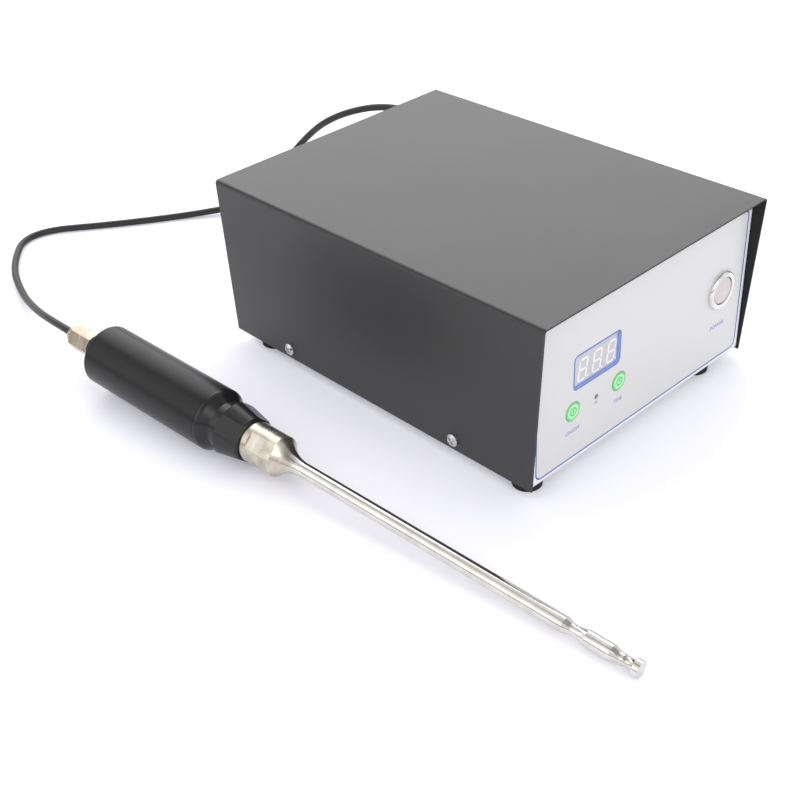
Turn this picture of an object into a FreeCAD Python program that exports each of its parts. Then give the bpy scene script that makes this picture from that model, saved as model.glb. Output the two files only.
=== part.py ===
"""Bench ultrasonic processor: a folded-sheet generator case and its hand-held probe, joined by one cable.

Millimetres. +Z is up and the bench is z = 0. The case faces -Y and +X is on its right, seen from the front.
While the pieces are made, x = 0 and y = 0 are the middle of the case. The last step moves everything so that
the origin is under the middle of the case and probe together.
"""
import FreeCAD, Part
import math
import os

Vec = FreeCAD.Vector
RIGHT = Vec(1, 0, 0)
BACK = Vec(0, 1, 0)
UP = Vec(0, 0, 1)

# Case: a black U cover over a folded chassis
case_width = 200.0
case_length = 272.0
cover_height = 107.5
cover_sheet = 1.2
cover_bend = 2.5
cover_front_lean = 7.0
cover_rear_lean = 4.0
cover_skirt_gap = 0.2
chassis_sheet = 1.2
chassis_bend = 2.5
chassis_corner = 1.2
chassis_length = 255.2
chassis_lip = 10.0
chassis_flange_height = 17.0
chassis_flange_end = 14.0
slip = 0.2
top_gap = 0.4

# Feet
foot_radius = 8.8
foot_height = 6.3
foot_edge = 0.6
foot_flare = 0.4
foot_bore_wall = 1.6
foot_left_inset = 11.4
foot_right_inset = 30.0
foot_front_inset = 11.4
foot_rear_inset = 20.0

# Screws: shank radius, head radius, head height, nut across flats, nut height
m3_shank = 1.5
m3_head = 2.8
m3_head_high = 1.9
m4_shank = 2.0
m4_head = 4.0
m4_head_high = 2.4
m4_nut_flats = 7.0
m4_nut_high = 3.2
recess_width = 0.9
screw_clearance = 0.25
thread_fit = 0.05
cover_screw_height = 13.4
cover_screw_front = -69.6
cover_screw_rear = 76.5
cover_screw_length = 9.0
foot_screw_length = 8.0
clinch_nut_radius = 3.9

# Front panel
overlay_thick = 0.5
overlay_margin = 1.0
overlay_corner = 4.0
display_inset = 55.2
display_z = 66.9
display_width = 41.0
display_height = 22.8
display_corner = 3.5
bezel_wall = 1.1
bezel_flange = 2.4
bezel_flange_thick = 1.2
display_recess = 1.7
display_depth = 8.0
module_gap = 0.2
digit_count = 3
digit_pitch = 12.4
digit_width = 7.6
digit_height = 14.2
digits_right = 1.9
digits_down = 1.6
digit_slant = 8.0
segment_width = 1.2
segment_gap = 0.25
segment_thick = 0.6
point_radius = 0.75

key_z = 42.8
key_inset = 35.1
key_spread = 40.6
key_radius = 5.9
key_proud = 0.4
key_edge = 0.3
key_gap = 0.3
key_flange = 1.3
key_flange_thick = 1.0
key_stem_radius = 1.75
key_travel = 0.4
switch_side = 6.2
switch_high = 3.5
switch_bore_gap = 0.3
switch_stem_in = 0.7
led_inset = 55.7
led_z = 42.3
led_radius = 1.45
led_length = 5.3
led_back = 0.2

board_thick = 1.6
control_board_left = 9.0
control_board_right = 9.0
control_board_top = 7.5
control_board_bottom = 9.0
spacer_inset = 4.0
spacer_flats = 5.5

power_inset = 28.0
power_z = 61.0
power_flange_radius = 12.5
power_crest_radius = 10.8
power_crest_high = 3.0
power_rim_high = 0.8
power_lip_high = 2.3
power_bore_radius = 9.0
power_cap_gap = 0.25
power_cap_high = 2.0
power_cap_edge = 0.5
power_cap_thick = 8.0
power_stem_radius = 4.0
power_stem_end = 9.4
power_travel = 2.5
power_stop_gap = 0.5
power_barrel_radius = 10.9
power_barrel_length = 27.0
power_nut_flats = 26.0
power_nut_high = 3.5
power_hole_gap = 0.2
blade_width = 2.8
blade_thick = 0.6
blade_length = 7.0

# Rear panel
vent_count = 9
vent_pitch = 9.0
vent_width = 3.2
vent_length = 26.0
vent_x = -10.0
vent_front_y = -84.0

inlet_inset = 42.0
inlet_z = 45.0
inlet_width = 28.0
inlet_height = 36.0
inlet_corner = 2.0
inlet_flange = 2.0
inlet_flange_thick = 2.5
inlet_depth = 24.0
plug_width = 24.4
plug_height = 16.6
plug_deep = 16.0
plug_chamfer = 5.0
plug_up = 7.6
pin_width = 2.0
pin_height = 4.0
pin_length = 13.0
pin_spread = 7.0
earth_up = 3.0
line_down = 1.0
pin_tail = 8.0
drawer_down = 11.4
drawer_width = 23.4
drawer_height = 7.6
drawer_depth = 16.0
drawer_gap = 0.3
drawer_lip = 1.5
drawer_lip_width = 12.0
fuse_radius = 2.6
fuse_length = 20.0
fuse_in = 9.0
fuse_gap = 0.25
fuse_cap_length = 5.0
fuse_glass_step = 0.25

fan_x = 12.0
fan_z = 60.0
fan_size = 60.0
fan_depth = 15.0
fan_corner = 4.0
fan_bore = 28.6
fan_hole_reach = 25.0
fan_hub = 12.0
fan_tip_gap = 0.8
fan_blades = 7
blade_plate = 1.2
blade_root_chord = 9.0
blade_tip_chord = 12.0
blade_root_pitch = 38.0
blade_tip_pitch = 28.0
motor_radius = 12.5
motor_deep = 3.5
strut_width = 3.0
fan_end_gap = 0.6
shaft_radius = 1.5
shaft_fit = 0.06
shaft_in = 2.6
guard_wire = 0.8
guard_eye_overlap = 0.3
guard_overhang = 1.6
guard_rings = (8.0, 14.0, 20.0, 26.0)
guard_high = 2.6
guard_eye = 4.8
guard_eye_thick = 1.0
fan_screw_length = 12.0

gland_inset = 16.0
gland_z = 98.5
gland_flats = 15.0
gland_body_long = 9.0
gland_cap_long = 10.0
gland_nose_long = 5.0
gland_nose_radius = 5.0
gland_thread_radius = 6.0
gland_thread_long = 8.0
gland_bore = 4.0
gland_nose_bore = 3.1
gland_edge = 0.8
locknut_high = 3.0
seal_deep = 6.0
seal_fit = 0.05
seal_squeeze = 0.05

# Inside the case
main_board_side_gap = 12.6
main_board_length = 150.0
main_board_y = 10.0
board_rise = 8.0
board_hole_inset = 6.0
board_screw_in = 3.4
heatsink_x = 8.0
heatsink_rear_gap = 6.0
heatsink_long = 74.0
heatsink_high = 48.0
heatsink_plate = 5.0
fin_count = 8
fin_thick = 1.6
fin_reach = 26.0
transistor_count = 4
transistor_pitch = 18.0
transistor_width = 15.8
transistor_high = 20.0
transistor_thick = 4.8
transistor_rise = 9.0
leg_width = 1.2
leg_thick = 0.6
leg_pitch = 5.4
leg_setback = 1.5
core_inset = 36.0
core_front_gap = 37.0
core_rear_gap = 53.0
core_side = 42.0
core_deep = 15.0
core_leg = 12.0
core_outer_leg = 6.4
bobbin_wall = 1.2
bobbin_fit = 0.2
winding_round = 3.0
coil_reach = 13.4
bus_cap_radius = 12.5
bus_cap_high = 40.0
bus_cap_groove = 0.8
bus_cap_edge = 0.8
bus_cap_inset = 27.0
bus_cap_front_gap = 23.0
bus_cap_pitch = 29.0
film_cap_width = 18.0
film_cap_thick = 9.0
film_cap_high = 15.0
film_cap_inset = 28.0
film_cap_front_gap = 63.0
film_cap_pitch = 14.0
film_cap_count = 3
rectifier_fin_gap = 6.0
rectifier_rear_gap = 29.0
rectifier_width = 30.0
rectifier_thick = 4.6
rectifier_high = 20.0
rectifier_rise = 4.0
rectifier_leg_pitch = 7.5

# Probe: t is the distance along its axis, counted from a point just behind the housing
housing_radius = 19.5
housing_wall = 2.5
housing_round = 1.2
housing_rear_t = 4.4
housing_end_t = 106.4
sleeve_radius = 18.2
sleeve_long = 3.1
end_cap_thick = 7.0
end_cap_recess = 1.0
end_cap_boss_radius = 8.2
end_cap_boss_long = 13.4
dome_radius = housing_radius
dome_straight = 1.0
dome_edge = 0.3
dome_arc = 4.5
dome_slope = 38.0
collar_neck_radius = 14.8
nose_start_t = 121.0
nose_radius = 17.3
nose_bevel = 1.2
nose_rim_t = 136.7
nose_rim_radius = 14.6
nose_lip_long = 2.0
nose_lip_deep = 1.5
nose_flat_deep = 1.0
nose_flat_count = 4
flat_turn = 45.7
horn_radius = 12.5
horn_gap = 0.4
horn_rear_t = 132.0
horn_shoulder_t = 162.0
horn_edge = 0.9
horn_flat_start_t = 142.9
horn_flat_deep = 1.1
rod_start_t = 179.0
rod_radius = 4.5
neck_one_t = 358.0
neck_two_t = 385.4
neck_drop = 4.0
neck_floor = 2.6
neck_rise = 6.2
neck_radius = 3.2
tip_radius = 4.7
tip_rim = 3.4
tip_end_t = 401.6
dome_x = -184.9
dome_y = 41.2
probe_toe_in = 4.4

stack_radius = 15.0
stack_bore = 5.2
ring_count = 4
ring_thick = 5.0
electrode_thick = 0.4
electrode_tab = 2.2
electrode_tab_width = 5.0
back_mass_long = 24.0
bolt_radius = 5.0
bolt_head_radius = 8.0
bolt_head_long = 8.0
front_mass_rear_t = 78.0
front_mass_flange_t = 105.0
front_mass_flange_long = 4.0
front_mass_flange_radius = 16.6
front_mass_neck_radius = 11.2
front_mass_neck_start = 14.0
front_mass_neck_end = 6.5
bolt_in_front_mass = 14.0
stud_radius = 5.0
stud_reach = 11.0
stud_gap = 0.4
seal_ring_radius = 0.9
seal_ring_inset = 2.0
retainer_long = 2.5
retainer_wide = 3.2

# Cable between the case and the probe
cable_radius = 2.5
cable_lead = 26.0
cable_middle = (
    (63.0, 209.0, 87.0),
    (61.0, 248.0, 57.0),
    (27.0, 273.0, 8.0),
    (-6.0, 299.0, 2.5),
    (-62.0, 335.0, 2.5),
    (-119.0, 380.0, 2.5),
    (-156.0, 337.0, 2.5),
    (-173.0, 293.0, 2.5),
    (-189.0, 241.0, 17.0),
)
arc_share = 0.45

# Heights and depths that several pieces share
chassis_bottom = foot_height
chassis_floor = chassis_bottom + chassis_sheet
cover_bottom = chassis_bottom + cover_skirt_gap
cover_top = cover_bottom + cover_height
chassis_top = cover_top - cover_sheet - top_gap
chassis_half = case_width / 2 - cover_sheet - slip
panel_face = -chassis_length / 2
panel_back = panel_face + chassis_sheet
overlay_face = panel_face - overlay_thick
rear_face = chassis_length / 2
rear_inside = rear_face - chassis_sheet
display_face = overlay_face + display_recess
control_board_face = display_face + display_depth
main_board_bottom = chassis_floor + board_rise
main_board_top = main_board_bottom + board_thick
dome_t = housing_end_t + dome_straight
probe_lean = math.degrees(math.atan((dome_radius - tip_radius) / (tip_end_t - dome_t)))
end_cap_face_t = housing_rear_t + end_cap_recess
display_x = -case_width / 2 + display_inset
led_x = -case_width / 2 + led_inset
key_left_x = -case_width / 2 + key_inset
key_right_x = key_left_x + key_spread
power_x = case_width / 2 - power_inset
inlet_x = -case_width / 2 + inlet_inset
gland_x = case_width / 2 - gland_inset
main_board_width = 2 * (chassis_half - main_board_side_gap)
board_right = main_board_width / 2
board_front = main_board_y - main_board_length / 2
board_rear = main_board_y + main_board_length / 2
heatsink_y = board_rear - heatsink_rear_gap - heatsink_long / 2
core_x = -board_right + core_inset
core_front_y = board_front + core_front_gap
core_rear_y = board_rear - core_rear_gap
bus_cap_x = board_right - bus_cap_inset - bus_cap_pitch
bus_cap_y = board_front + bus_cap_front_gap
film_cap_x = board_right - film_cap_inset
film_cap_y = board_front + film_cap_front_gap
rectifier_x = heatsink_x + heatsink_plate + fin_reach + rectifier_fin_gap + rectifier_width / 2
rectifier_y = board_rear - rectifier_rear_gap
seal_inner = gland_body_long + gland_cap_long + gland_nose_long - seal_deep


def block(x0, x1, y0, y1, z0, z1):
    return Part.makeBox(x1 - x0, y1 - y0, z1 - z0, Vec(x0, y0, z0))


def bar(radius, length, at, along):
    return Part.makeCylinder(radius, length, at, along)


def fused(pieces):
    whole = pieces[0]
    if len(pieces) > 1:
        whole = whole.fuse(pieces[1:])
    return whole.removeSplitter()


def aimed(shape, at, along):
    """Turns a shape made along +Z to point along a direction, and puts its origin at a point."""
    turned = shape.copy()
    turned.Placement = FreeCAD.Placement(at, FreeCAD.Rotation(UP, along))
    return turned


def path_edges(points, radii):
    """Straight runs through the points, joined by tangent arcs of the given radii."""
    edges = []
    start = points[0]
    for i in range(1, len(points) - 1):
        corner = points[i]
        back = (points[i - 1] - corner).normalize()
        ahead = (points[i + 1] - corner).normalize()
        turn = math.pi - back.getAngle(ahead)
        cut = radii[i - 1] * math.tan(turn / 2)
        inward = (back + ahead).normalize()
        centre = corner + inward * (radii[i - 1] / math.cos(turn / 2))
        first = corner + back * cut
        last = corner + ahead * cut
        edges.append(Part.LineSegment(start, first).toShape())
        edges.append(Part.Arc(first, centre - inward * radii[i - 1], last).toShape())
        start = last
    edges.append(Part.LineSegment(start, points[-1]).toShape())
    return edges


def folded_sheet(points, thick, bend, sweep):
    """A sheet folded along the outer points, every bend turning the same way, swept along a direction."""
    inner = []
    for i, point in enumerate(points):
        if 0 < i < len(points) - 1:
            back = (points[i - 1] - point).normalize()
            ahead = (points[i + 1] - point).normalize()
            half = back.getAngle(ahead) / 2
            inner.append(point + (back + ahead).normalize() * (thick / math.sin(half)))
    first_normal = (points[2] - points[1]).normalize()
    last_normal = (points[-3] - points[-2]).normalize()
    inner.insert(0, points[0] + first_normal * thick)
    inner.append(points[-1] + last_normal * thick)
    bends = len(points) - 2
    edges = path_edges(points, [bend] * bends)
    edges.append(Part.LineSegment(points[-1], inner[-1]).toShape())
    edges += path_edges(inner[::-1], [bend - thick] * bends)
    edges.append(Part.LineSegment(inner[0], points[0]).toShape())
    return Part.Face(Part.Wire(edges)).extrude(sweep)


def turned_piece(outline):
    """A solid turned about +Z from (radius, height) points. A point written as (radius, height, radius, height)
    is the end of an arc, after a point that the arc passes through."""
    edges = []
    here = Vec(outline[0][0], 0, outline[0][1])
    for step in list(outline[1:]) + [outline[0]]:
        there = Vec(step[-2], 0, step[-1])
        if len(step) == 4:
            edges.append(Part.Arc(here, Vec(step[0], 0, step[1]), there).toShape())
        elif here.distanceToPoint(there) > 1e-6:
            edges.append(Part.LineSegment(here, there).toShape())
        here = there
    return Part.Face(Part.Wire(edges)).revolve(Vec(0, 0, 0), UP, 360)


def rounded_block(x, z, width, height, corner, y0, y1):
    """A block with rounded corners in the XZ plane."""
    plain = block(x - width / 2, x + width / 2, y0, y1, z - height / 2, z + height / 2)
    corners = [e for e in plain.Edges if abs(e.tangentAt(e.FirstParameter).y) > 0.99]
    return plain.makeFillet(corner, corners)


def hexagon(flats, length, at, along):
    corners = [Vec(flats / math.sqrt(3), 0, 0)]
    for i in range(6):
        angle = math.radians(60 * (i + 1))
        corners.append(Vec(flats / math.sqrt(3) * math.cos(angle), flats / math.sqrt(3) * math.sin(angle), 0))
    corners[-1] = corners[0]
    return aimed(Part.Face(Part.makePolygon(corners)).extrude(UP * length), at, along)


def pan_screw(shank, head, head_high, length, at, along):
    """A cross-recessed pan head screw. Its head seats at a point and its shank runs along a direction."""
    dome = turned_piece([
        (0, 0), (0, length), (shank, length), (shank, 0), (head, 0), (head, -head_high * 0.5),
        (head * 0.65, -head_high), (0, -head_high),
    ])
    for turn in (0, 90):
        slot = block(-head * 0.55, head * 0.55, -recess_width / 2, recess_width / 2, -head_high,
                     -head_high * 0.4)
        slot.rotate(Vec(0, 0, 0), UP, turn + 45)
        dome = dome.cut(slot)
    return aimed(dome, at, along)


def nut(flats, high, bore, at, along):
    return hexagon(flats, high, at, along).cut(bar(bore, high, at, along))


# Case
def foot_places():
    left = -case_width / 2 + foot_left_inset
    right = case_width / 2 - foot_right_inset
    front = panel_face + foot_front_inset
    rear = rear_face - foot_rear_inset
    return [Vec(x, y, 0) for x in (left, right) for y in (front, rear)]


def board_places():
    x = main_board_width / 2 - board_hole_inset
    y = main_board_length / 2 - board_hole_inset
    return [Vec(i * x, main_board_y + j * y, 0) for i in (-1, 1) for j in (-1, 1)]


def cover_screw_places():
    return [(side, y) for side in (-1, 1) for y in (cover_screw_front, cover_screw_rear)]


def top_cover():
    half = case_width / 2
    length = case_length
    strip = folded_sheet(
        [Vec(-half, -length / 2, cover_bottom), Vec(-half, -length / 2, cover_top),
         Vec(half, -length / 2, cover_top), Vec(half, -length / 2, cover_bottom)],
        cover_sheet, cover_bend, BACK * length)
    side = Part.makePolygon([
        Vec(-half, -length / 2, cover_top), Vec(-half, length / 2, cover_top),
        Vec(-half, length / 2 - cover_rear_lean, cover_bottom),
        Vec(-half, -length / 2 + cover_front_lean, cover_bottom), Vec(-half, -length / 2, cover_top)])
    cover = strip.common(Part.Face(side).extrude(RIGHT * case_width))
    for side, y in cover_screw_places():
        at = Vec(side * half, y, cover_screw_height)
        cover = cover.cut(bar(m4_shank + screw_clearance, cover_sheet, at, RIGHT * -side))
    return cover


def chassis_tray():
    lip = chassis_lip
    tray = folded_sheet(
        [Vec(-chassis_half, panel_face + lip, chassis_top), Vec(-chassis_half, panel_face, chassis_top),
         Vec(-chassis_half, panel_face, chassis_bottom), Vec(-chassis_half, rear_face, chassis_bottom),
         Vec(-chassis_half, rear_face, chassis_top), Vec(-chassis_half, rear_face - lip, chassis_top)],
        chassis_sheet, chassis_bend, RIGHT * 2 * chassis_half)
    flanges = []
    for side in (-1, 1):
        outer = side * chassis_half
        inner = outer - side * chassis_sheet
        flanges.append(block(min(outer, inner), max(outer, inner), panel_face + chassis_flange_end,
                             rear_face - chassis_flange_end, chassis_bottom,
                             chassis_bottom + chassis_flange_height))
    corners = []
    for side in (-1, 1):
        outline = [Vec(side * (chassis_half + i), panel_face, chassis_top + k)
                   for i, k in ((-chassis_corner, 0), (0, -chassis_corner), (0, 0), (-chassis_corner, 0))]
        corners.append(Part.Face(Part.makePolygon(outline)).extrude(BACK * chassis_length))
    return fused([tray] + flanges).cut(corners)


def chassis_cuts():
    deep = 3 * chassis_sheet
    front = Vec(0, panel_face - chassis_sheet, 0)
    cuts = [rounded_block(display_x, display_z, display_width, display_height, display_corner,
                          panel_face - chassis_sheet, panel_back + chassis_sheet)]
    cuts.append(bar(power_barrel_radius + power_hole_gap, deep, front + Vec(power_x, 0, power_z), BACK))
    cuts.append(bar(led_radius + power_hole_gap, deep, front + Vec(led_x, 0, led_z), BACK))
    for x in (key_left_x, key_right_x):
        cuts.append(bar(key_radius + key_gap, deep, front + Vec(x, 0, key_z), BACK))
    rear = Vec(0, rear_inside - chassis_sheet, 0)
    cuts.append(bar(fan_bore, deep, rear + Vec(fan_x, 0, fan_z), BACK))
    for place in fan_screw_places():
        cuts.append(bar(m4_shank + screw_clearance, deep, rear + place, BACK))
    cuts.append(bar(gland_thread_radius + screw_clearance, deep, rear + Vec(gland_x, 0, gland_z), BACK))
    cuts.append(rounded_block(inlet_x, inlet_z, inlet_width, inlet_height, inlet_corner,
                              rear_inside - chassis_sheet, rear_face + chassis_sheet))
    below = Vec(0, 0, chassis_bottom - chassis_sheet)
    for place in foot_places():
        cuts.append(bar(m4_shank + screw_clearance, deep, place + below, UP))
    for place in board_places():
        cuts.append(bar(m3_shank + screw_clearance, deep, place + below, UP))
    for side, y in cover_screw_places():
        at = Vec(side * (chassis_half + chassis_sheet), y, cover_screw_height)
        cuts.append(bar(m4_shank + screw_clearance, deep, at, RIGHT * -side))
    return cuts + floor_vents()


def floor_vents():
    """Slots in the floor, where the fan draws its air in."""
    slots = []
    for i in range(vent_count):
        x = vent_x + (i - (vent_count - 1) / 2) * vent_pitch
        slot = block(x - vent_width / 2, x + vent_width / 2, vent_front_y - vent_length / 2,
                     vent_front_y + vent_length / 2, chassis_bottom - chassis_sheet,
                     chassis_floor + chassis_sheet)
        upright = [e for e in slot.Edges if abs(e.tangentAt(e.FirstParameter).z) > 0.99]
        slots.append(slot.makeFillet(vent_width * 0.49, upright))
    return slots


def cover_screws():
    screws = []
    for side, y in cover_screw_places():
        at = Vec(side * case_width / 2, y, cover_screw_height)
        screws.append(pan_screw(m4_shank, m4_head, m4_head_high, cover_screw_length, at, RIGHT * -side))
    return screws


def clinch_nuts():
    nuts = []
    for side, y in cover_screw_places():
        at = Vec(side * (chassis_half - chassis_sheet), y, cover_screw_height)
        body = bar(clinch_nut_radius, m4_nut_high, at, RIGHT * -side)
        nuts.append(body.cut(bar(m4_shank + thread_fit, m4_nut_high, at, RIGHT * -side)))
    return nuts


def rubber_feet():
    seat = foot_bore_wall
    ring = turned_piece([
        (m4_shank + screw_clearance, foot_height), (m4_shank + screw_clearance, foot_height - seat),
        (m4_head + screw_clearance, foot_height - seat), (m4_head + screw_clearance, 0),
        (foot_radius - foot_edge, 0), (foot_radius, foot_edge), (foot_radius + foot_flare, foot_height),
    ])
    return [aimed(ring, place, UP) for place in foot_places()]


def foot_screws():
    return [pan_screw(m4_shank, m4_head, m4_head_high, foot_screw_length,
                      place + Vec(0, 0, foot_height - foot_bore_wall), UP) for place in foot_places()]


def foot_nuts():
    return [nut(m4_nut_flats, m4_nut_high, m4_shank + thread_fit, place + Vec(0, 0, chassis_floor), UP)
            for place in foot_places()]


# Front panel
def front_overlay():
    bottom = chassis_bottom + chassis_bend
    top = chassis_top - chassis_bend
    width = 2 * (chassis_half - overlay_margin)
    sheet = rounded_block(0, (bottom + top) / 2, width, top - bottom, overlay_corner, overlay_face,
                          panel_face)
    sheet = sheet.cut(rounded_block(display_x, display_z, display_width, display_height, display_corner,
                                    overlay_face, panel_face))
    at = Vec(0, overlay_face, 0)
    sheet = sheet.cut(bar(power_barrel_radius + power_hole_gap, overlay_thick,
                          at + Vec(power_x, 0, power_z), BACK))
    sheet = sheet.cut(bar(led_radius + power_hole_gap, overlay_thick, at + Vec(led_x, 0, led_z), BACK))
    for x in (key_left_x, key_right_x):
        sheet = sheet.cut(bar(key_radius + key_gap, overlay_thick, at + Vec(x, 0, key_z), BACK))
    return sheet


def display_bezel():
    frame = rounded_block(display_x, display_z, display_width, display_height, display_corner,
                          overlay_face, panel_back)
    flange = rounded_block(display_x, display_z, display_width + 2 * bezel_flange,
                           display_height + 2 * bezel_flange, display_corner, panel_back,
                           panel_back + bezel_flange_thick)
    window = rounded_block(display_x, display_z, display_width - 2 * bezel_wall,
                           display_height - 2 * bezel_wall,
                           display_corner - bezel_wall, overlay_face, panel_back + bezel_flange_thick)
    return fused([frame, flange]).cut(window)


def segment_bars():
    """The seven bars of one digit, upright, as (x centre, z centre, length, is it level), from its centre."""
    across = digit_width - segment_width
    half = (digit_height - segment_width) / 2
    level = [(0, rise, across - 2 * segment_gap, True) for rise in (-half, 0, half)]
    upright = [(side * across / 2, rise * half / 2, half - 2 * segment_gap, False)
               for side in (-1, 1) for rise in (-1, 1)]
    return level + upright


def one_segment(length, level):
    tip = segment_width / 2
    outline = [(-length / 2, 0), (-length / 2 + tip, tip), (length / 2 - tip, tip), (length / 2, 0),
               (length / 2 - tip, -tip), (-length / 2 + tip, -tip), (-length / 2, 0)]
    if not level:
        outline = [(z, x) for x, z in outline]
    return outline


def display_segments():
    """Flat bars of every digit, each leaning with the digits, and one point after each digit."""
    lean = math.tan(math.radians(digit_slant))
    height = display_z - digits_down
    bars = []
    for digit in range(digit_count):
        middle = display_x + digits_right + (digit - (digit_count - 1) / 2) * digit_pitch
        for x, z, length, level in segment_bars():
            outline = [Vec(middle + x + i + (z + k) * lean, display_face, height + z + k)
                       for i, k in one_segment(length, level)]
            bars.append(Part.Face(Part.makePolygon(outline)).extrude(BACK * segment_thick))
        point = Vec(middle + digit_width / 2 + segment_width - digit_height / 2 * lean, display_face,
                    height - digit_height / 2 + point_radius)
        bars.append(bar(point_radius, segment_thick, point, BACK))
    return bars


def display_module(segments):
    width = display_width - 2 * bezel_wall - 2 * module_gap
    height = display_height - 2 * bezel_wall - 2 * module_gap
    corner = display_corner - bezel_wall
    body = rounded_block(display_x, display_z, width, height, corner, display_face, control_board_face)
    return body.cut(segments)


def control_board_box():
    left = key_left_x - key_radius - control_board_left
    right = key_right_x + key_radius + control_board_right
    bottom = key_z - key_radius - control_board_bottom
    top = display_z + display_height / 2 + control_board_top
    return left, right, bottom, top


def control_spacer_places():
    left, right, low, high = control_board_box()
    return [Vec(x, 0, z) for x in (left + spacer_inset, right - spacer_inset)
            for z in (low + spacer_inset, high - spacer_inset)]


def control_board():
    left, right, low, high = control_board_box()
    board = block(left, right, control_board_face, control_board_face + board_thick, low, high)
    for place in control_spacer_places():
        board = board.cut(bar(m3_shank + screw_clearance, board_thick, place + BACK * control_board_face,
                              BACK))
    return board


def control_board_spacers():
    spacers = []
    length = control_board_face - panel_back
    for place in control_spacer_places():
        spacers.append(nut(spacer_flats, length, m3_shank + thread_fit, place + BACK * panel_back, BACK))
    return spacers


def control_board_screws():
    back = control_board_face + board_thick
    return [pan_screw(m3_shank, m3_head, m3_head_high, board_thick + board_screw_in,
                      place + BACK * back, -BACK) for place in control_spacer_places()]


def switch_front():
    return control_board_face - switch_high


def front_key(x):
    flange_front = panel_back + key_gap
    flange_back = flange_front + key_flange_thick
    front = overlay_face - key_proud
    stem_end = switch_front() + switch_stem_in
    shape = turned_piece([
        (0, 0), (key_radius - key_edge, 0), (key_radius, key_edge),
        (key_radius, flange_front - front), (key_radius + key_flange, flange_front - front),
        (key_radius + key_flange, flange_back - front), (key_stem_radius, flange_back - front),
        (key_stem_radius, stem_end - front), (0, stem_end - front),
    ])
    return aimed(shape, Vec(x, front, key_z), BACK)


def tact_switches():
    switches = []
    for x in (key_left_x, key_right_x):
        body = block(x - switch_side / 2, x + switch_side / 2, switch_front(), control_board_face,
                     key_z - switch_side / 2, key_z + switch_side / 2)
        deep = switch_stem_in + key_travel + switch_bore_gap
        switches.append(body.cut(bar(key_stem_radius + switch_bore_gap, deep,
                                     Vec(x, switch_front(), key_z), BACK)))
    return switches


def indicator_led():
    front = overlay_face + led_back
    lens = turned_piece([
        (0, 0), (led_radius * 0.72, led_radius * 0.3, led_radius, led_radius), (led_radius, led_length - 1.0),
        (led_radius + 0.45, led_length - 1.0), (led_radius + 0.45, led_length), (0, led_length),
    ])
    lens = aimed(lens, Vec(led_x, front, led_z), BACK)
    legs = []
    for side in (-1, 1):
        x = led_x + side * 0.75
        legs.append(block(x - 0.25, x + 0.25, front + led_length, control_board_face, led_z - 0.25,
                          led_z + 0.25))
    return fused([lens] + legs)


# Power button
def power_button_housing():
    """Its axis runs out of the panel: height 0 is the overlay's face and the barrel is below it."""
    bore_floor = -(power_stem_end + power_travel + power_stop_gap)
    shape = turned_piece([
        (0, -power_barrel_length), (power_barrel_radius, -power_barrel_length), (power_barrel_radius, 0),
        (power_flange_radius, 0), (power_flange_radius, power_rim_high),
        (power_flange_radius - 0.55, power_crest_high * 0.8, power_crest_radius, power_crest_high),
        (power_bore_radius, power_lip_high),
        (power_bore_radius, bore_floor), (0, bore_floor),
    ])
    return aimed(shape, Vec(power_x, overlay_face, power_z), -BACK)


def power_button_cap():
    radius = power_bore_radius - power_cap_gap
    under = power_cap_high - power_cap_thick
    shape = turned_piece([
        (0, power_cap_high), (radius - power_cap_edge, power_cap_high),
        (radius, power_cap_high - power_cap_edge),
        (radius, under), (power_stem_radius, under), (power_stem_radius, -power_stem_end),
        (0, -power_stem_end),
    ])
    return aimed(shape, Vec(power_x, overlay_face, power_z), -BACK)


def power_button_nut():
    at = Vec(power_x, panel_back, power_z)
    return nut(power_nut_flats, power_nut_high, power_barrel_radius + thread_fit, at, BACK)


def power_button_terminals():
    blades = []
    back = overlay_face + power_barrel_length
    for i in range(5):
        angle = math.radians(72 * i)
        x = power_x + 7 * math.sin(angle)
        z = power_z + 7 * math.cos(angle)
        blades.append(block(x - blade_width / 2, x + blade_width / 2, back, back + blade_length,
                            z - blade_thick / 2, z + blade_thick / 2))
    return blades


# Mains inlet
def plug_space():
    """The hollow that takes the mains plug: a rectangle with its two upper corners cut off."""
    x0 = inlet_x - plug_width / 2
    x1 = inlet_x + plug_width / 2
    z0 = inlet_z + plug_up - plug_height / 2
    z1 = inlet_z + plug_up + plug_height / 2
    y = rear_face + inlet_flange_thick
    outline = [Vec(x0, y, z0), Vec(x1, y, z0), Vec(x1, y, z1 - plug_chamfer), Vec(x1 - plug_chamfer, y, z1),
               Vec(x0 + plug_chamfer, y, z1), Vec(x0, y, z1 - plug_chamfer), Vec(x0, y, z0)]
    return Part.Face(Part.makePolygon(outline)).extrude(-BACK * plug_deep)


def drawer_space():
    width = drawer_width + 2 * drawer_gap
    height = drawer_height + 2 * drawer_gap
    z = inlet_z - drawer_down
    y = rear_face + inlet_flange_thick
    return block(inlet_x - width / 2, inlet_x + width / 2, y - drawer_depth - drawer_gap, y,
                 z - height / 2, z + height / 2)


def pin_places():
    z = inlet_z + plug_up
    return [Vec(inlet_x, 0, z + earth_up), Vec(inlet_x - pin_spread, 0, z - line_down),
            Vec(inlet_x + pin_spread, 0, z - line_down)]


def mains_inlet():
    front = rear_face + inlet_flange_thick
    body = rounded_block(inlet_x, inlet_z, inlet_width - 2 * slip, inlet_height - 2 * slip, inlet_corner,
                         front - inlet_depth, rear_face)
    flange = rounded_block(inlet_x, inlet_z, inlet_width + 2 * inlet_flange, inlet_height + 2 * inlet_flange,
                           inlet_corner + inlet_flange / 2, rear_face, front)
    inlet = fused([body, flange]).cut([plug_space(), drawer_space()])
    for place in pin_places():
        inlet = inlet.cut(block(place.x - pin_width / 2, place.x + pin_width / 2, front - inlet_depth, front,
                                place.z - pin_height / 2, place.z + pin_height / 2))
    return inlet


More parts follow.
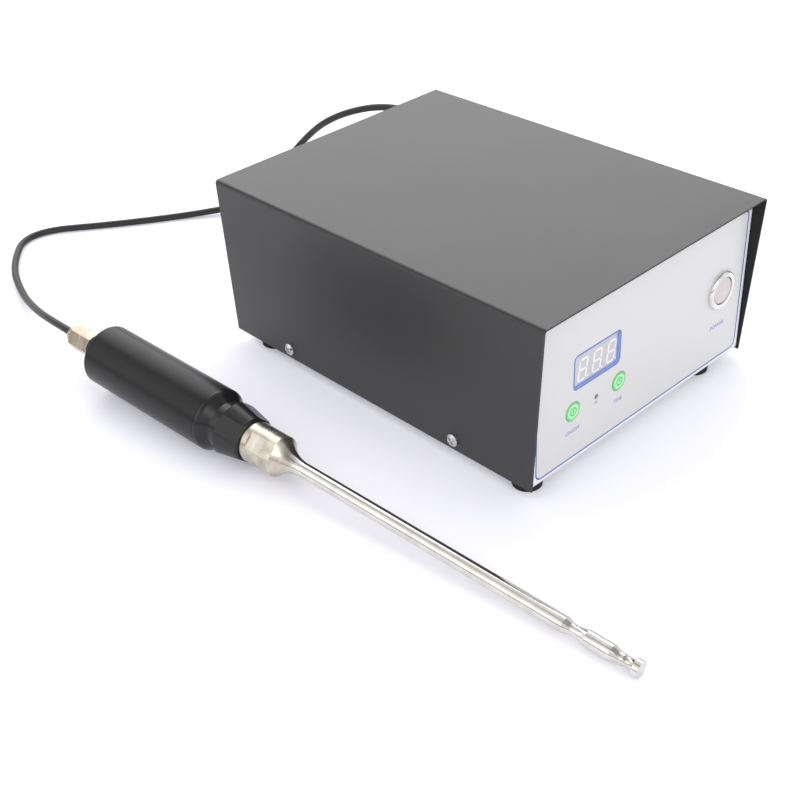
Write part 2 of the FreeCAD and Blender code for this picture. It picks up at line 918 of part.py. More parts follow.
def inlet_pins():
    floor = rear_face + inlet_flange_thick - plug_deep
    back = rear_face + inlet_flange_thick - inlet_depth - pin_tail
    pins = []
    for place in pin_places():
        pin = block(place.x - pin_width / 2, place.x + pin_width / 2, back, floor + pin_length,
                    place.z - pin_height / 2, place.z + pin_height / 2)
        ends = [e for e in pin.Edges if e.CenterOfMass.y > floor + pin_length - 0.01]
        pins.append(pin.makeChamfer(0.5, ends))
    return pins


def fuse_place():
    return Vec(inlet_x, rear_face + inlet_flange_thick - fuse_in, inlet_z - drawer_down)


def fuse_drawer():
    front = rear_face + inlet_flange_thick
    z = inlet_z - drawer_down
    tray = block(inlet_x - drawer_width / 2, inlet_x + drawer_width / 2, front - drawer_depth, front,
                 z - drawer_height / 2, z + drawer_height / 2)
    lip = block(inlet_x - drawer_lip_width / 2, inlet_x + drawer_lip_width / 2, front, front + drawer_lip,
                z + drawer_height / 2 - drawer_lip, z + drawer_height / 2)
    tray = fused([tray, lip])
    radius = fuse_radius + fuse_gap
    half = fuse_length / 2 + fuse_gap
    at = fuse_place()
    tray = tray.cut(bar(radius, 2 * half, at - RIGHT * half, RIGHT))
    return tray.cut(block(at.x - half, at.x + half, at.y - radius, at.y + radius, at.z, at.z + drawer_height))


def fuse():
    glass = fuse_radius - fuse_glass_step
    half = fuse_length / 2
    edge = half - fuse_cap_length
    shape = turned_piece([(0, -half), (fuse_radius, -half), (fuse_radius, -edge), (glass, -edge),
                          (glass, edge),
                          (fuse_radius, edge), (fuse_radius, half), (0, half)])
    return aimed(shape, fuse_place() - UP * fuse_gap, RIGHT)


# Fan: made facing +Z, its inner face at height 0, then turned so that it blows out of the rear panel
def at_fan(shape):
    placed = shape.copy()
    turn = FreeCAD.Rotation(RIGHT, -90)
    placed.Placement = FreeCAD.Placement(Vec(fan_x, rear_inside - fan_depth, fan_z), turn)
    return placed


def fan_screw_places():
    return [Vec(fan_x + i * fan_hole_reach, 0, fan_z + j * fan_hole_reach) for i in (-1, 1) for j in (-1, 1)]


def fan_frame():
    half = fan_size / 2
    shell = block(-half, half, -half, half, 0, fan_depth)
    upright = [e for e in shell.Edges if abs(e.tangentAt(e.FirstParameter).z) > 0.99]
    shell = shell.makeFillet(fan_corner, upright).cut(bar(fan_bore, fan_depth, Vec(0, 0, 0), UP))
    motor = bar(motor_radius, motor_deep, Vec(0, 0, fan_depth - motor_deep), UP)
    struts = []
    for turn in (45, 165, 285):
        strut = block(0, fan_bore + 1, -strut_width / 2, strut_width / 2, fan_depth - motor_deep, fan_depth)
        strut.rotate(Vec(0, 0, 0), UP, turn)
        struts.append(strut)
    frame = fused([shell, motor] + struts)
    for i in (-1, 1):
        for j in (-1, 1):
            at = Vec(i * fan_hole_reach, j * fan_hole_reach, 0)
            frame = frame.cut(bar(m4_shank + screw_clearance, fan_depth, at, UP))
    bearing = bar(shaft_radius + shaft_fit, shaft_in + thread_fit, Vec(0, 0, fan_depth - motor_deep), UP)
    return at_fan(frame.cut(bearing))


def fan_blade(turn):
    """A thin blade lofted from its root inside the hub to its tip, its pitch easing outwards."""
    middle = (fan_end_gap + fan_depth - motor_deep - fan_end_gap) / 2
    sections = []
    for radius, chord, pitch in ((fan_hub - 2, blade_root_chord, blade_root_pitch),
                                 (fan_bore, blade_tip_chord, blade_tip_pitch)):
        angle = math.radians(pitch)
        run = Vec(0, math.cos(angle), math.sin(angle)) * (chord / 2)
        side = Vec(0, -math.sin(angle), math.cos(angle)) * (blade_plate / 2)
        centre = Vec(radius, 0, middle)
        corners = [centre - run - side, centre + run - side, centre + run + side, centre - run + side]
        sections.append(Part.makePolygon(corners + [corners[0]]))
    blade = Part.makeLoft(sections, True, True)
    blade.rotate(Vec(0, 0, 0), UP, turn)
    return blade


def fan_rotor():
    top = fan_depth - motor_deep - fan_end_gap
    hub = turned_piece([(0, fan_end_gap), (fan_hub - 1.5, fan_end_gap), (fan_hub, fan_end_gap + 1.5),
                        (fan_hub, top), (0, top)])
    blades = [fan_blade(360 * i / fan_blades) for i in range(fan_blades)]
    rotor = fused([hub] + blades).common(bar(fan_bore - fan_tip_gap, fan_depth, Vec(0, 0, 0), UP))
    shaft = bar(shaft_radius, fan_end_gap + shaft_in, Vec(0, 0, top), UP)
    return at_fan(fused([rotor, shaft]))


def wire_ring(radius, half, height):
    """A ring about +Z whose section is a regular hexagon, as wide as the wire that it stands for."""
    side = half / 2
    rise = half * math.sqrt(3) / 2
    return turned_piece([
        (radius - half, height), (radius - side, height - rise), (radius + side, height - rise),
        (radius + half, height), (radius + side, height + rise), (radius - side, height + rise),
    ])


def fan_guard():
    """Wire rings on two crossed wires, with a flat eye for a screw at each end. Height 0 is the rear panel."""
    reach = fan_hole_reach * math.sqrt(2)
    spread = guard_rings[-1] + guard_overhang
    guard_flats = 2 * guard_wire
    pieces = []
    leg_end = reach - guard_eye + guard_eye_overlap
    middle = guard_high - guard_wire
    drop = middle - guard_eye_thick / 2
    for turn in (45, 135):
        wire = hexagon(guard_flats, 2 * spread, Vec(-spread, 0, middle), RIGHT)
        for side in (-1, 1):
            leg = hexagon(guard_flats, math.hypot(leg_end - spread, drop), Vec(side * spread, 0, middle),
                          Vec(side * (leg_end - spread), 0, -drop))
            wire = wire.fuse([leg, bar(guard_eye, guard_eye_thick, Vec(side * reach, 0, 0), UP)])
        wire.rotate(Vec(0, 0, 0), UP, turn)
        pieces.append(wire)
    for radius in guard_rings:
        pieces.append(wire_ring(radius, guard_wire, guard_high + guard_wire / 2))
    guard = fused(pieces)
    for i in (-1, 1):
        for j in (-1, 1):
            at = Vec(i * fan_hole_reach, j * fan_hole_reach, -1)
            guard = guard.cut(bar(m4_shank + screw_clearance, 2 * guard_high, at, UP))
    guard = guard.cut(block(-reach, reach, -reach, reach, -guard_high, 0))
    guard.Placement = FreeCAD.Placement(Vec(fan_x, rear_face, fan_z), FreeCAD.Rotation(RIGHT, -90))
    return guard


def fan_screws():
    seat = rear_face + guard_eye_thick
    return [pan_screw(m4_shank, m4_head, m4_head_high, fan_screw_length, place + BACK * seat, -BACK)
            for place in fan_screw_places()]


# Cable glands: each is made along +Z from the face that it seats on
def gland_body(length):
    grip = hexagon(gland_flats, length, Vec(0, 0, 0), UP)
    thread = bar(gland_thread_radius, gland_thread_long, Vec(0, 0, -gland_thread_long), UP)
    bore = bar(gland_bore, gland_thread_long + length, Vec(0, 0, -gland_thread_long), UP)
    return fused([grip, thread]).cut(bore)


def gland_cap():
    start = gland_body_long
    cap = hexagon(gland_flats, gland_cap_long, Vec(0, 0, start), UP)
    end = start + gland_cap_long
    nose = turned_piece([
        (0, start), (gland_flats / 2, start), (gland_flats / 2, end),
        (gland_nose_radius + 0.9, end + gland_nose_long * 0.2),
        (gland_nose_radius, end + gland_nose_long * 0.55),
        (gland_nose_radius, end + gland_nose_long), (0, end + gland_nose_long),
    ])
    bevel = turned_piece([
        (0, start), (gland_flats / math.sqrt(3) - gland_edge, start),
        (gland_flats / math.sqrt(3), start + gland_edge),
        (gland_flats / math.sqrt(3), end - gland_edge), (gland_flats / 2, end), (0, end),
    ])
    whole = fused([cap.common(bevel), nose])
    space = turned_piece([
        (0, start), (gland_bore, start), (gland_bore, end), (gland_nose_bore, end + 1),
        (gland_nose_bore, end + gland_nose_long), (0, end + gland_nose_long),
    ])
    return whole.cut(space)


def gland_seal():
    """The rubber sleeve that grips the cable in the cap's nose."""
    end = gland_body_long + gland_cap_long + gland_nose_long
    outer = gland_nose_bore - seal_fit
    inner = cable_radius - seal_squeeze
    return turned_piece([(inner, seal_inner), (outer, seal_inner), (outer, end), (inner, end)])


def rear_gland_place():
    return Vec(gland_x, rear_face, gland_z)


# Probe: made along +Z, then laid on the bench so that it rests on its dome and its tip
def on_probe(shape):
    turn = FreeCAD.Rotation(UP, probe_toe_in)
    turn = turn.multiply(FreeCAD.Rotation(RIGHT, 90 + probe_lean))
    axis = turn.multVec(UP)
    height = dome_radius * math.cos(math.radians(probe_lean))
    start = Vec(dome_x, dome_y, height) - axis * dome_t
    placed = shape.copy()
    placed.Placement = FreeCAD.Placement(start, turn).multiply(placed.Placement)
    return placed


def on_probe_rear(shape):
    """Puts a gland's piece on the end cap's boss, pointing backwards."""
    flip = FreeCAD.Placement(Vec(0, 0, end_cap_face_t - end_cap_boss_long), FreeCAD.Rotation(RIGHT, 180))
    turned = shape.copy()
    turned.Placement = flip
    return on_probe(turned)


def bore_radius():
    return housing_radius - housing_wall


def probe_housing():
    """A plain tube with a rounded rear edge, and at its front a threaded sleeve that the collar screws onto."""
    outer = housing_radius
    inner = bore_radius()
    rear = housing_rear_t
    edge = housing_round * (1 - math.sqrt(0.5))
    sleeve_end = housing_end_t + sleeve_long
    return turned_piece([
        (inner, rear), (outer - housing_round, rear),
        (outer - edge, rear + edge, outer, rear + housing_round),
        (outer, housing_end_t), (sleeve_radius, housing_end_t), (sleeve_radius, sleeve_end),
        (inner, sleeve_end),
    ])


def probe_end_cap():
    inner = bore_radius() - thread_fit
    thread = gland_thread_radius + thread_fit
    boss_end = end_cap_face_t - end_cap_boss_long
    deep = end_cap_face_t + end_cap_thick
    return turned_piece([
        (thread, boss_end), (end_cap_boss_radius, boss_end), (end_cap_boss_radius, end_cap_face_t),
        (inner, end_cap_face_t), (inner, deep), (thread, deep),
    ])


def seal_seat_t():
    """Where the front seal ring rests against the collar."""
    return front_mass_flange_t + front_mass_flange_long + 2 * seal_ring_radius


def probe_collar():
    """The cap that closes the housing: a dome, a neck and a tapered nose with wrench flats."""
    start = housing_end_t
    end = nose_rim_t + nose_lip_long
    slope = math.radians(dome_slope)
    bend = (dome_radius - dome_arc * (1 - math.cos(slope)), dome_t + dome_arc * math.sin(slope))
    half_bend = (dome_radius - dome_arc * (1 - math.cos(slope / 2)), dome_t + dome_arc * math.sin(slope / 2))
    neck_t = bend[1] + (bend[0] - collar_neck_radius) / math.tan(slope)
    lip_middle = (nose_rim_radius - nose_lip_deep * 0.3, nose_rim_t + nose_lip_long * 0.7)
    thread = sleeve_radius + thread_fit
    thread_end = start + sleeve_long + stud_gap
    mouth = horn_radius + horn_gap
    shape = turned_piece([
        (thread, start), (dome_radius - dome_edge, start), (dome_radius, start + dome_edge),
        (dome_radius, dome_t),
        half_bend + bend, (collar_neck_radius, neck_t), (collar_neck_radius, nose_start_t),
        (nose_radius - nose_bevel, nose_start_t), (nose_radius, nose_start_t + nose_bevel),
        (nose_rim_radius, nose_rim_t), lip_middle + (nose_rim_radius - nose_lip_deep, end),
        (mouth, end), (mouth, seal_seat_t()), (bore_radius(), seal_seat_t()),
        (bore_radius(), thread_end), (thread, thread_end),
    ])
    taper_long = nose_rim_t - nose_start_t - nose_bevel
    taper = math.degrees(math.atan((nose_radius - nose_rim_radius) / taper_long))
    reach = nose_radius - nose_flat_deep
    flats = []
    for i in range(nose_flat_count):
        flat = block(-nose_radius, nose_radius, reach, 2 * nose_radius, nose_start_t - 2 * nose_bevel,
                     end + 1)
        flat.rotate(Vec(0, reach, nose_start_t + nose_bevel), RIGHT, taper)
        flat.rotate(Vec(0, 0, 0), UP, flat_turn + 360 / nose_flat_count * i)
        flats.append(flat)
    return shape.cut(flats)


def stack_start():
    """Where the pile of ceramic rings begins, counted back from the front mass."""
    return front_mass_rear_t - ring_count * (ring_thick + electrode_thick)


def piezo_rings():
    rings = []
    for i in range(ring_count):
        t = stack_start() + i * (ring_thick + electrode_thick) + electrode_thick
        ring = bar(stack_radius, ring_thick, Vec(0, 0, t), UP)
        rings.append(ring.cut(bar(stack_bore + 0.8, ring_thick, Vec(0, 0, t), UP)))
    return rings


def electrodes():
    """Thin copper washers between the rings, each with a solder tab, turned alternately to the two sides."""
    plates = []
    for i in range(ring_count):
        t = stack_start() + i * (ring_thick + electrode_thick)
        side = 1 if i % 2 else -1
        plate = bar(stack_radius, electrode_thick, Vec(0, 0, t), UP)
        edge = side * (stack_radius + electrode_tab - 0.4)
        tab = block(min(0, edge), max(0, edge), -electrode_tab_width / 2, electrode_tab_width / 2,
                    t, t + electrode_thick)
        plate = fused([plate, tab]).cut(bar(stack_bore + 0.8, electrode_thick, Vec(0, 0, t), UP))
        plates.append(plate)
    return plates


def back_mass():
    end = stack_start()
    start = end - back_mass_long
    mass = turned_piece([(stack_bore, start), (stack_radius - 1, start), (stack_radius, start + 1),
                         (stack_radius, end), (stack_bore, end)])
    return mass


def preload_bolt():
    head_front = stack_start() - back_mass_long
    head_rear = head_front - bolt_head_long
    end = front_mass_rear_t + bolt_in_front_mass
    bolt = turned_piece([(0, head_rear), (bolt_head_radius - 0.8, head_rear),
                         (bolt_head_radius, head_rear + 0.8),
                         (bolt_head_radius, head_front), (bolt_radius, head_front), (bolt_radius, end),
                         (0, end)])
    return bolt.cut(hexagon(8.0, bolt_head_long * 0.6, Vec(0, 0, head_rear), UP))


def front_mass():
    start = front_mass_rear_t
    flange = front_mass_flange_t
    after = flange + front_mass_flange_long
    end = horn_rear_t
    body = turned_piece([
        (0, start), (stack_radius, start), (stack_radius, flange - front_mass_neck_start),
        (front_mass_neck_radius, flange - front_mass_neck_end),
        (front_mass_neck_radius, flange),
        (front_mass_flange_radius - seal_fit, flange), (front_mass_flange_radius - seal_fit, after),
        (front_mass_neck_radius, after), (front_mass_neck_radius, end), (0, end),
    ])
    body = body.cut(bar(bolt_radius + thread_fit, bolt_in_front_mass + stud_gap, Vec(0, 0, start), UP))
    return body.cut(bar(stud_radius + thread_fit, stud_reach + stud_gap,
                        Vec(0, 0, end - stud_reach - stud_gap), UP))


def flat_sided_ring(radius, half, height):
    """A ring about +Z with a square section whose corners are cut off."""
    side = half * 0.4
    return turned_piece([
        (radius - half, height - side), (radius - side, height - half), (radius + side, height - half),
        (radius + half, height - side), (radius + half, height + side), (radius + side, height + half),
        (radius - side, height + half), (radius - half, height + side),
    ])


def flange_seals():
    """Rubber rings that hold the front mass at its flange, in front and behind, so that it can vibrate."""
    middle = front_mass_flange_radius - seal_ring_inset
    behind = front_mass_flange_t - seal_ring_radius
    ahead = front_mass_flange_t + front_mass_flange_long + seal_ring_radius
    return [flat_sided_ring(middle, seal_ring_radius, t) for t in (behind, ahead)]


def flange_retainer():
    """The threaded ring in the housing that presses the rear seal onto the flange."""
    outer = bore_radius() - thread_fit
    end = front_mass_flange_t - 2 * seal_ring_radius
    ring = bar(outer, retainer_long, Vec(0, 0, end - retainer_long), UP)
    ring = ring.cut(bar(outer - retainer_wide, retainer_long, Vec(0, 0, end - retainer_long), UP))
    slots = [block(-outer, outer, -1.2, 1.2, end - retainer_long, end - retainer_long / 2)]
    return ring.cut(slots)


def horn_stud():
    return bar(stud_radius, 2 * stud_reach, Vec(0, 0, horn_rear_t - stud_reach), UP)


def neck_outline(start, radius_before, radius_after):
    """A neck cut into the rod: a short cone down, a hollow floor and a long easy rise."""
    floor = start + neck_drop
    rise = floor + neck_floor
    end = rise + neck_rise
    low = neck_radius
    sag = (radius_after - low) * 0.3
    return [(radius_before, start), (low + 0.1, floor - 0.6),
            (low - 0.05, floor + neck_floor / 2, low + 0.1, rise),
            (low + sag, (rise + end) / 2, radius_after, end)]


def horn():
    """The horn and its long rod, turned from one bar: a spigot in the collar, wrench flats, a hollow taper,
    a plain rod and two necks before the flared tip."""
    start = horn_rear_t
    shoulder = horn_shoulder_t
    run = rod_start_t - shoulder
    top = horn_radius - horn_edge
    hollow = (run ** 2 + (top - rod_radius) ** 2) / (2 * (top - rod_radius))
    half_angle = math.asin(run / hollow) / 2
    mid_t = rod_start_t - hollow * math.sin(half_angle)
    mid_radius = rod_radius + hollow * (1 - math.cos(half_angle))
    outline = [(0, start), (horn_radius, start), (horn_radius, shoulder - horn_edge), (top, shoulder),
               (mid_radius, mid_t, rod_radius, rod_start_t)]
    outline += neck_outline(neck_one_t, rod_radius, rod_radius)
    outline += neck_outline(neck_two_t, rod_radius, tip_radius - 0.1)[:-1]
    outline += [(neck_radius + 0.5, tip_end_t - tip_rim - 1.2, tip_radius, tip_end_t - tip_rim),
                (tip_radius, tip_end_t), (0, tip_end_t)]
    shape = turned_piece(outline)
    reach = horn_radius - horn_flat_deep
    for side in (0, 180):
        flat = block(-horn_radius, horn_radius, reach, 2 * horn_radius, horn_flat_start_t, shoulder + 4)
        flat.rotate(Vec(0, 0, 0), UP, flat_turn + side)
        shape = shape.cut(flat)
    return shape.cut(bar(stud_radius + thread_fit, stud_reach + stud_gap, Vec(0, 0, start), UP))


# Inside the case
def main_board():
    half = main_board_width / 2
    board = block(-half, half, main_board_y - main_board_length / 2, main_board_y + main_board_length / 2,
                  main_board_bottom, main_board_top)
    for place in board_places():
        board = board.cut(bar(m3_shank + screw_clearance, board_thick, place + UP * main_board_bottom, UP))
    return board


def board_spacers():
    return [nut(spacer_flats, board_rise, m3_shank + thread_fit, place + UP * chassis_floor, UP)
            for place in board_places()]


def board_screws():
    screws = []
    for place in board_places():
        screws.append(pan_screw(m3_shank, m3_head, m3_head_high, board_thick + board_screw_in,
                                place + UP * main_board_top, -UP))
        screws.append(pan_screw(m3_shank, m3_head, m3_head_high, chassis_sheet + board_screw_in,
                                place + UP * chassis_bottom, UP))
    return screws


def heatsink():
    """A tall plate with level fins, extruded along the air that the fan draws."""
    start = heatsink_y - heatsink_long / 2
    low = main_board_top
    plate = block(heatsink_x, heatsink_x + heatsink_plate, start, start + heatsink_long, low,
                  low + heatsink_high)
    fins = []
    pitch = (heatsink_high - fin_thick) / (fin_count - 1)
    for i in range(fin_count):
        z = low + i * pitch
        fins.append(block(heatsink_x + heatsink_plate, heatsink_x + heatsink_plate + fin_reach, start,
                          start + heatsink_long, z, z + fin_thick))
    return fused([plate] + fins)


def power_transistors():
    parts = []
    first = heatsink_y - (transistor_count - 1) * transistor_pitch / 2
    x1 = heatsink_x
    x0 = x1 - transistor_thick
    low = main_board_top + transistor_rise
    for i in range(transistor_count):
        y = first + i * transistor_pitch
        body = block(x0, x1, y - transistor_width / 2, y + transistor_width / 2, low, low + transistor_high)
        legs = []
        for j in (-1, 0, 1):
            at = y + j * leg_pitch
            legs.append(block(x0 + leg_setback, x0 + leg_setback + leg_thick, at - leg_width / 2,
                              at + leg_width / 2, main_board_top, low))
        parts.append(fused([body] + legs))
    return parts


def bridge_rectifier():
    low = main_board_top + rectifier_rise
    body = block(rectifier_x - rectifier_width / 2, rectifier_x + rectifier_width / 2,
                 rectifier_y - rectifier_thick / 2, rectifier_y + rectifier_thick / 2, low,
                 low + rectifier_high)
    legs = []
    for i in range(4):
        x = rectifier_x + (i - 1.5) * rectifier_leg_pitch
        legs.append(block(x - leg_width / 2, x + leg_width / 2, rectifier_y - leg_thick / 2,
                          rectifier_y + leg_thick / 2, main_board_top, low))
    return fused([body] + legs)


def core_centres():
    rise = main_board_top + core_deep
    return [Vec(core_x, y, rise) for y in (core_front_y, core_rear_y)]


def around(centre, half_x, half_y, half_z):
    return block(centre.x - half_x, centre.x + half_x, centre.y - half_y, centre.y + half_y,
                 centre.z - half_z, centre.z + half_z)


def window_width():
    return core_side / 2 - core_leg / 2 - core_outer_leg


def window_half():
    return core_side / 2 - core_outer_leg


def ferrite_cores():
    cores = []
    for centre in core_centres():
        core = around(centre, core_side / 2, core_side / 2, core_deep / 2)
        for side in (-1, 1):
            middle = centre + RIGHT * (side * (core_leg / 2 + window_width() / 2))
            core = core.cut(around(middle, window_width() / 2, window_half(), core_deep))
        cores.append(core)
    return cores


def bobbin_tube(centre, grow, half_y):
    half_x = core_leg / 2 + grow
    half_z = core_deep / 2 + grow
    return around(centre, half_x, half_y, half_z)


def coil_bobbins():
    bobbins = []
    for centre in core_centres():
        half_y = window_half() - bobbin_fit
        reach = core_leg / 2 + window_width() - bobbin_fit
        tube = bobbin_tube(centre, bobbin_fit + bobbin_wall, half_y)
        ends = []
        for side in (-1, 1):
            middle = centre + BACK * (side * (half_y - bobbin_wall / 2))
            ends.append(around(middle, reach, bobbin_wall / 2, core_deep))
        bobbins.append(fused([tube] + ends).cut(bobbin_tube(centre, bobbin_fit, 2 * half_y)))
    return bobbins


def coil_windings():
    windings = []
    for centre in core_centres():
        half_y = window_half() - bobbin_fit - bobbin_wall
        coil = around(centre, coil_reach, half_y, coil_reach)
        edges = [e for e in coil.Edges if abs(e.tangentAt(e.FirstParameter).y) > 0.99]
        coil = coil.makeFillet(winding_round, edges)
        windings.append(coil.cut(bobbin_tube(centre, bobbin_fit + bobbin_wall, half_y)))
    return windings


def bus_capacitors():
    radius = bus_cap_radius
    high = bus_cap_high
    can = turned_piece([
        (0, 0), (radius, 0), (radius, 3), (radius - bus_cap_groove, 4), (radius, 5),
        (radius, high - bus_cap_edge),
        (radius - bus_cap_edge, high), (0, high),
    ])
    return [aimed(can, Vec(bus_cap_x + i * bus_cap_pitch, bus_cap_y, main_board_top), UP) for i in (0, 1)]


def film_capacitors():
    caps = []
    for i in range(film_cap_count):
        y = film_cap_y + i * film_cap_pitch
        cap = block(film_cap_x - film_cap_width / 2, film_cap_x + film_cap_width / 2, y - film_cap_thick / 2,
                    y + film_cap_thick / 2, main_board_top, main_board_top + film_cap_high)
        top = [e for e in cap.Edges if e.CenterOfMass.z > main_board_top + film_cap_high / 4]
        caps.append(cap.makeFillet(1.0, top))
    return caps


# Cable
def cable_ends():
    """The cable's ends, inside the glands' rubber sleeves, and the points straight out from them."""
    case_end = rear_gland_place() + BACK * seal_inner
    inner = end_cap_face_t - end_cap_boss_long - seal_inner
    places = []
    for t in (inner, inner - cable_lead):
        mark = Part.Vertex(Vec(0, 0, 0))
        mark.Placement = FreeCAD.Placement(Vec(0, 0, t), FreeCAD.Rotation())
        places.append(on_probe(mark).Point)
    return case_end, case_end + BACK * cable_lead, places[1], places[0]


def probe_cable():
    case_end, case_out, probe_out, probe_end = cable_ends()
    points = [case_end, case_out] + [Vec(*point) for point in cable_middle] + [probe_out, probe_end]
    radii = []
    for i in range(1, len(points) - 1):
        before = points[i - 1] - points[i]
        after = points[i + 1] - points[i]
        turn = math.pi - before.getAngle(after)
        radii.append(arc_share * min(before.Length, after.Length) / math.tan(turn / 2))
    path = Part.Wire(path_edges(points, radii))
    start = Part.Wire(Part.Circle(case_end, BACK, cable_radius).toShape())
    tube = path.makePipeShell([start], True, True)
    section = math.pi * cable_radius ** 2
    print("cable points", [[round(v, 1) for v in point] for point in points])
    print("cable bend radii", [round(r) for r in radii])
    print("cable length %.0f mm, volume over section %.0f mm" % (path.Length, tube.Volume / section))
    return tube


def all_pieces():
    segments = display_segments()
    gland_at = rear_gland_place()
    seal = gland_seal()
    pieces = {
        "top_cover": top_cover(),
        "chassis": chassis_tray().cut(chassis_cuts()),
        "cover_screws": cover_screws(),
        "clinch_nuts": clinch_nuts(),
        "rubber_feet": rubber_feet(),
        "foot_screws": foot_screws(),
        "foot_nuts": foot_nuts(),
        "front_overlay": front_overlay(),
        "display_bezel": display_bezel(),
        "display_module": display_module(segments),
        "display_segments": segments,
        "control_board": control_board(),
        "control_board_spacers": control_board_spacers(),
        "control_board_screws": control_board_screws(),
        "tact_switches": tact_switches(),
        "indicator_led": indicator_led(),
        "on_off_key": front_key(key_left_x),
        "time_key": front_key(key_right_x),
        "power_button_housing": power_button_housing(),
        "power_button_cap": power_button_cap(),
        "power_button_nut": power_button_nut(),
        "power_button_terminals": power_button_terminals(),
        "mains_inlet": mains_inlet(),
        "inlet_pins": inlet_pins(),
        "fuse_drawer": fuse_drawer(),
        "fuse": fuse(),
        "fan_frame": fan_frame(),
        "fan_rotor": fan_rotor(),
        "fan_guard": fan_guard(),
        "fan_screws": fan_screws(),
        "rear_gland_body": aimed(gland_body(gland_body_long), gland_at, BACK),
        "rear_gland_cap": aimed(gland_cap(), gland_at, BACK),
        "rear_gland_locknut": nut(gland_flats, locknut_high, gland_thread_radius + thread_fit,
                                  gland_at - BACK * chassis_sheet, -BACK),
        "gland_seals": [aimed(seal, gland_at, BACK), on_probe_rear(seal)],
        "main_board": main_board(),
        "board_spacers": board_spacers(),
        "board_screws": board_screws(),
        "heatsink": heatsink(),
        "power_transistors": power_transistors(),
        "bridge_rectifier": bridge_rectifier(),
        "ferrite_cores": ferrite_cores(),
        "coil_bobbins": coil_bobbins(),
        "coil_windings": coil_windings(),
        "bus_capacitors": bus_capacitors(),
        "film_capacitors": film_capacitors(),
        "probe_housing": on_probe(probe_housing()),
        "probe_end_cap": on_probe(probe_end_cap()),
        "probe_collar": on_probe(probe_collar()),
        "probe_gland_body": on_probe_rear(gland_body(gland_body_long)),
        "probe_gland_cap": on_probe_rear(gland_cap()),
        "back_mass": on_probe(back_mass()),
        "piezo_rings": [on_probe(ring) for ring in piezo_rings()],
        "electrodes": [on_probe(plate) for plate in electrodes()],
        "preload_bolt": on_probe(preload_bolt()),
        "front_mass": on_probe(front_mass()),
        "flange_seals": [on_probe(ring) for ring in flange_seals()],
        "flange_retainer": on_probe(flange_retainer()),
        "horn_stud": on_probe(horn_stud()),
        "horn": on_probe(horn()),
        "probe_cable": probe_cable(),
    }
    return pieces


def one_shape(piece):
    if isinstance(piece, list):
        return Part.makeCompound(piece)
    return piece


def main():
    os.makedirs("parts", exist_ok=True)
    shapes = {name: one_shape(piece) for name, piece in all_pieces().items()}
    whole = Part.makeCompound([shape for name, shape in shapes.items() if name != "probe_cable"])
    box = whole.optimalBoundingBox()
    to_origin = Vec(-(box.XMin + box.XMax) / 2, -(box.YMin + box.YMax) / 2, 0)
    print("the case's middle is at", [round(v, 2) for v in to_origin])
    for name, shape in shapes.items():
        moved = shape.copy()
        moved.translate(to_origin)
        solids = moved.Solids
        if not solids or not all(s.isValid() and s.isClosed() for s in solids):
            print("NOT SOUND:", name)
        moved.exportStep("parts/%s.step" % name)
    print(len(shapes), "nodes,", sum(len(s.Solids) for s in shapes.values()), "solids")


main()
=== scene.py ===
import math
import bmesh
import bpy
from mathutils import Matrix, Vector


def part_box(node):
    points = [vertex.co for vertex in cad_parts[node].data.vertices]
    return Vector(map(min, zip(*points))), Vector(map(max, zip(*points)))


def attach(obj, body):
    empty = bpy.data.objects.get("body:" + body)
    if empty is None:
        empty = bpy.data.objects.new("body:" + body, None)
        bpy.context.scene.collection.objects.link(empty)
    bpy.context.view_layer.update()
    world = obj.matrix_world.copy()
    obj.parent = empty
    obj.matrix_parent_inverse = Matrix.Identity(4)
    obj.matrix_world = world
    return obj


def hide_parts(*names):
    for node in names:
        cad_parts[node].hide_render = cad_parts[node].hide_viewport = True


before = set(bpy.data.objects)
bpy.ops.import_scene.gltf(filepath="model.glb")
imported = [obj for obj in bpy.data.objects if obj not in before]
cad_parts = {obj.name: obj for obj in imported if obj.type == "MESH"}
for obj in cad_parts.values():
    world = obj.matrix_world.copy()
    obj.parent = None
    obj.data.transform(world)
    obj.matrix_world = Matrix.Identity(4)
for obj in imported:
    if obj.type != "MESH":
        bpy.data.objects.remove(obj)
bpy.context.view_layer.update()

print("frame loaded:", len(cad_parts), "nodes")

# The case's middle, as the CAD model places it. Sizes below are in mm from that middle, heights from the bench.
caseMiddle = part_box("top_cover")
middleX = (caseMiddle[0][0] + caseMiddle[1][0]) / 2
middleY = (caseMiddle[0][1] + caseMiddle[1][1]) / 2


def place(x, y, z):
    return Vector((middleX + x / 1000, middleY + y / 1000, z / 1000))


def colour(code):  # sRGB hex to the linear values that the shader wants
    parts = [int(code[i:i + 2], 16) / 255 for i in (1, 3, 5)]
    return [p / 12.92 if p <= 0.04045 else ((p + 0.055) / 1.055) ** 2.4 for p in parts] + [1.0]


def addNode(tree, kind, settings=None, values=None, links=None):
    node = tree.nodes.new(kind)
    for key, value in (settings or {}).items():
        setattr(node, key, value)
    for key, value in (values or {}).items():
        node.inputs[key].default_value = value
    for key, source in (links or {}).items():
        tree.links.new(source, node.inputs[key])
    return node


def feed(tree, socket, source):  # the source is a plain value or another node's socket
    if isinstance(source, bpy.types.NodeSocket):
        tree.links.new(source, socket)
    else:
        socket.default_value = source


def calculate(tree, operation, first, second=0.0):
    node = addNode(tree, "ShaderNodeMath", {"operation": operation})
    feed(tree, node.inputs[0], first)
    feed(tree, node.inputs[1], second)
    return node.outputs[0]


# materials: named for the real surface, grain sizes in mm
probeAxis = {"lean": 2.880, "toeIn": 4.4}
probeTurn = Matrix.Rotation(math.radians(probeAxis["toeIn"]), 4, "Z") @ Matrix.Rotation(
    math.radians(90 + probeAxis["lean"]), 4, "X")
probeForward = probeTurn.to_3x3() @ Vector((0, 0, 1))


